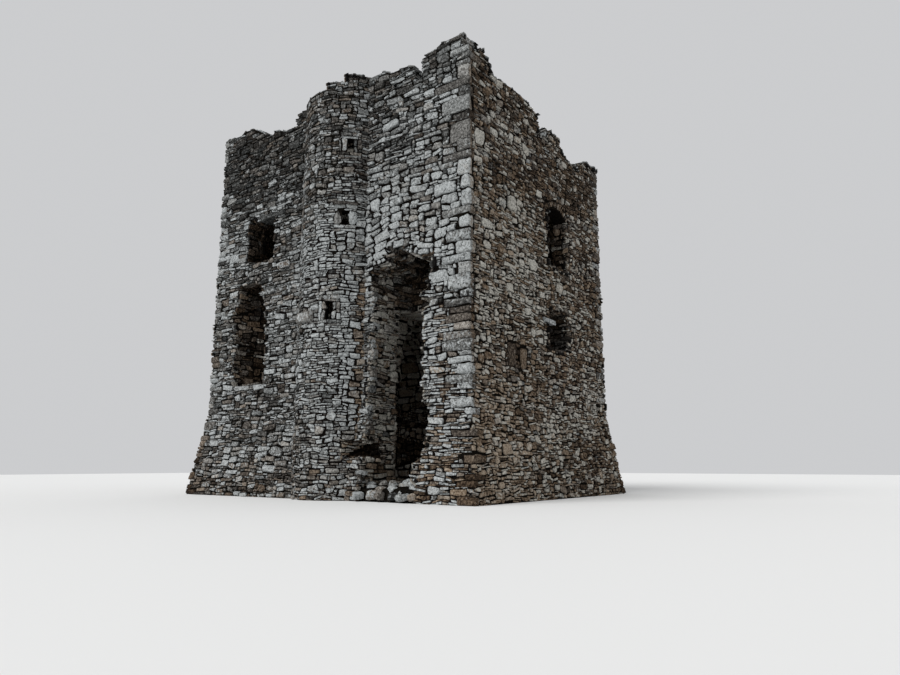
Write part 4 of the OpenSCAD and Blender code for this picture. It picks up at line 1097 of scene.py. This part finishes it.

# Reveals: the sides, sills and heads of the windows and doorways, of rough brown blocks bonded with the
# walls, with painted shade that makes them darker the deeper they lie.
def painted_hollow_shade(p):
    """Painted shade: the hollow low in the side of the breach, the front window and the ragged opening of the
    right-hand wall are darkened throughout."""
    x, y, z = p.T
    hollow = (z < 1.7) & (z > 1.0) & (x > turret_x) & (x < jamb_edge + 0.4)
    window = (z > hall_z) & (y < near_y + 2) & (x < turret_x)
    window |= (z < hall_z) & (z > loft_z) & (x > near_x - 2) & (y > near_y + 2.5)
    return -0.4 * hollow - 0.2 * window, -0.5 * hollow - 0.4 * window, 0


EDGE = dict(
    RUBBLE, seed=41, warm=0.6, warm_spread=0.25, tone=0.42, pale=0.22, dim=(0.0, 0.6), patches=painted_hollow_shade,
    coarse_cut=0.14, stones=PLAIN,
)
raise_piece("reveal_facing", face_walls(["edge"], EDGE), side_stone)

# Parapets: their inner faces are the same rubble in larger stones, and their broken
# tops and the tops of the walls are loose blocks in what is left of the mortar.
PARAPET = dict(RUBBLE, seed=44, stones=PLAIN, coarse_cut=0.05)
raise_piece("parapet_facing", face_walls(["parapet"], PARAPET), front_stone)
TOP = dict(RUBBLE, seed=47, proud=0.05, tilt=0.12, coarse_cut=0.05, stones=(
    (0.5, 0.14, 0.24, 0.16, 0.36), (0.35, 0.2, 0.32, 0.25, 0.45), (0.15, 0.28, 0.42, 0.3, 0.6),
))
raise_piece("wall_top_stones", face_walls(["top"], TOP), front_stone)

# Floors: large split flags bedded in mortar on the ground, on the vaults and on the
# roof walk, their joints open and dirty.
# Floors and rooms get no painted shade with their depth behind the faces.
NO_DEPTH_SHADE = (99, 1)
FLOOR = dict(
    SIDE, seed=53, tone=0.42, tone_spread=0.1, warm=0.6, warm_spread=0.12, flecks=0, dim=NO_DEPTH_SHADE,
    patches=None, joint=0.008, broken=0.06, round=0.09, turn=0.01, sway=0.006, proud=0.02, tilt=0.006,
    rough=0.002, lost=0, ragged=0, coarse_cut=0.3,
    stones=((0.4, 0.35, 0.5, 0.45, 0.8), (0.6, 0.5, 0.7, 0.6, 1.0)),
)
raise_piece("floor_flags", face_walls(["floor"], FLOOR), side_stone)

# Rooms: walls and barrel vaults of larger dark stones, laid flat on the walls and on
# edge in the vaults, smoked and damp.
ROOM = dict(
    SIDE, seed=59, tone=0.72, pale=0.50, flecks=0, turn=0.04, sway=0.02, dim=NO_DEPTH_SHADE, patches=None,
    coarse_cut=0.25, stones=(
        (0.3, 0.16, 0.22, 0.3, 0.6), (0.45, 0.20, 0.30, 0.4, 0.8), (0.25, 0.30, 0.42, 0.5, 0.9),
    ),
)
raise_piece("room_facing", face_walls(["room"], ROOM), side_stone)
batches = []
for kind in ("soffit", "ceiling"):
    mine = face_kind == kind
    _, y, z = tris[mine].reshape(-1, 3).T
    *centre, radius = fit_circle(y, z)
    free, low, place = round_panel(mine, centre, radius, 0, -1)
    dice = np.random.default_rng(800 + len(batches))
    batches += build_up(free, low, place, ROOM, dice, free)
raise_piece("vault_stones", batches, side_stone)

# Stair well: the inner face of the turret, of the same dark stones as the rooms, set out round the curve and
# standing less proud.
free, low, place = round_panel(face_kind == "well", (turret_x, turret_y), well_r, 2, -1)
batches = build_up(free, low, place, dict(ROOM, proud=0.03), np.random.default_rng(820), free)
raise_piece("stair_well_facing", batches, side_stone)

# Core of the walls: lime and earth mortar packed with small stones, which shows at the bottom of the joints
# and where a stone is missing. Its near-black colour is partly the dark earth and dirt of the mortar and
# partly painted shade deep in the joints.
core, tree, shader = dull_material("mortar_core", 1.0, 0.0)
place = add_node(tree, "TexCoord", {}).outputs["Object"]
grit = add_node(tree, "TexNoise", {"Scale": 30, "Detail": 6, "Vector": place}).outputs["Fac"]
mortar = colour_ramp(tree, grit, ((0.4, (0.002, 0.002, 0.0018)), (0.7, (0.016, 0.013, 0.010))))
set_inputs(tree, shader, {"Base Color": mortar})
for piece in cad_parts.values():
    piece.data.materials.clear()
    piece.data.materials.append(core)

# Floor and light: a plain pale floor and backdrop in soft studio light, with one broad
# lamp high on the left that darkens the undersides of the stones.
floor_mesh = bpy.data.meshes.new("floor")
floor_mesh.from_pydata([(-60, -60, 0), (60, -60, 0), (60, 60, 0), (-60, 60, 0)], [], [(0, 1, 2, 3)])
floor = bpy.data.objects.new("floor", floor_mesh)
bpy.context.collection.objects.link(floor)
floor_material, tree, shader = dull_material("floor", 0.9, 0.5)
set_inputs(tree, shader, {"Base Color": (0.75, 0.75, 0.74)})
floor_mesh.materials.append(floor_material)

world = bpy.data.worlds.new("studio")
world.use_nodes = True
tree = world.node_tree
set_inputs(tree, tree.nodes["Background"], {"Color": (0.97, 0.98, 1.0), "Strength": 0.62})
bpy.context.scene.world = world
broad_light = bpy.data.lights.new("studio_lamp", "SUN")
broad_light.energy = 2.2
broad_light.angle = math.radians(40)
lamp = bpy.data.objects.new("studio_lamp", broad_light)
lamp.rotation_euler = (math.radians(44), 0, math.radians(-12))
bpy.context.collection.objects.link(lamp)
bpy.context.scene.view_settings.view_transform = "Standard"
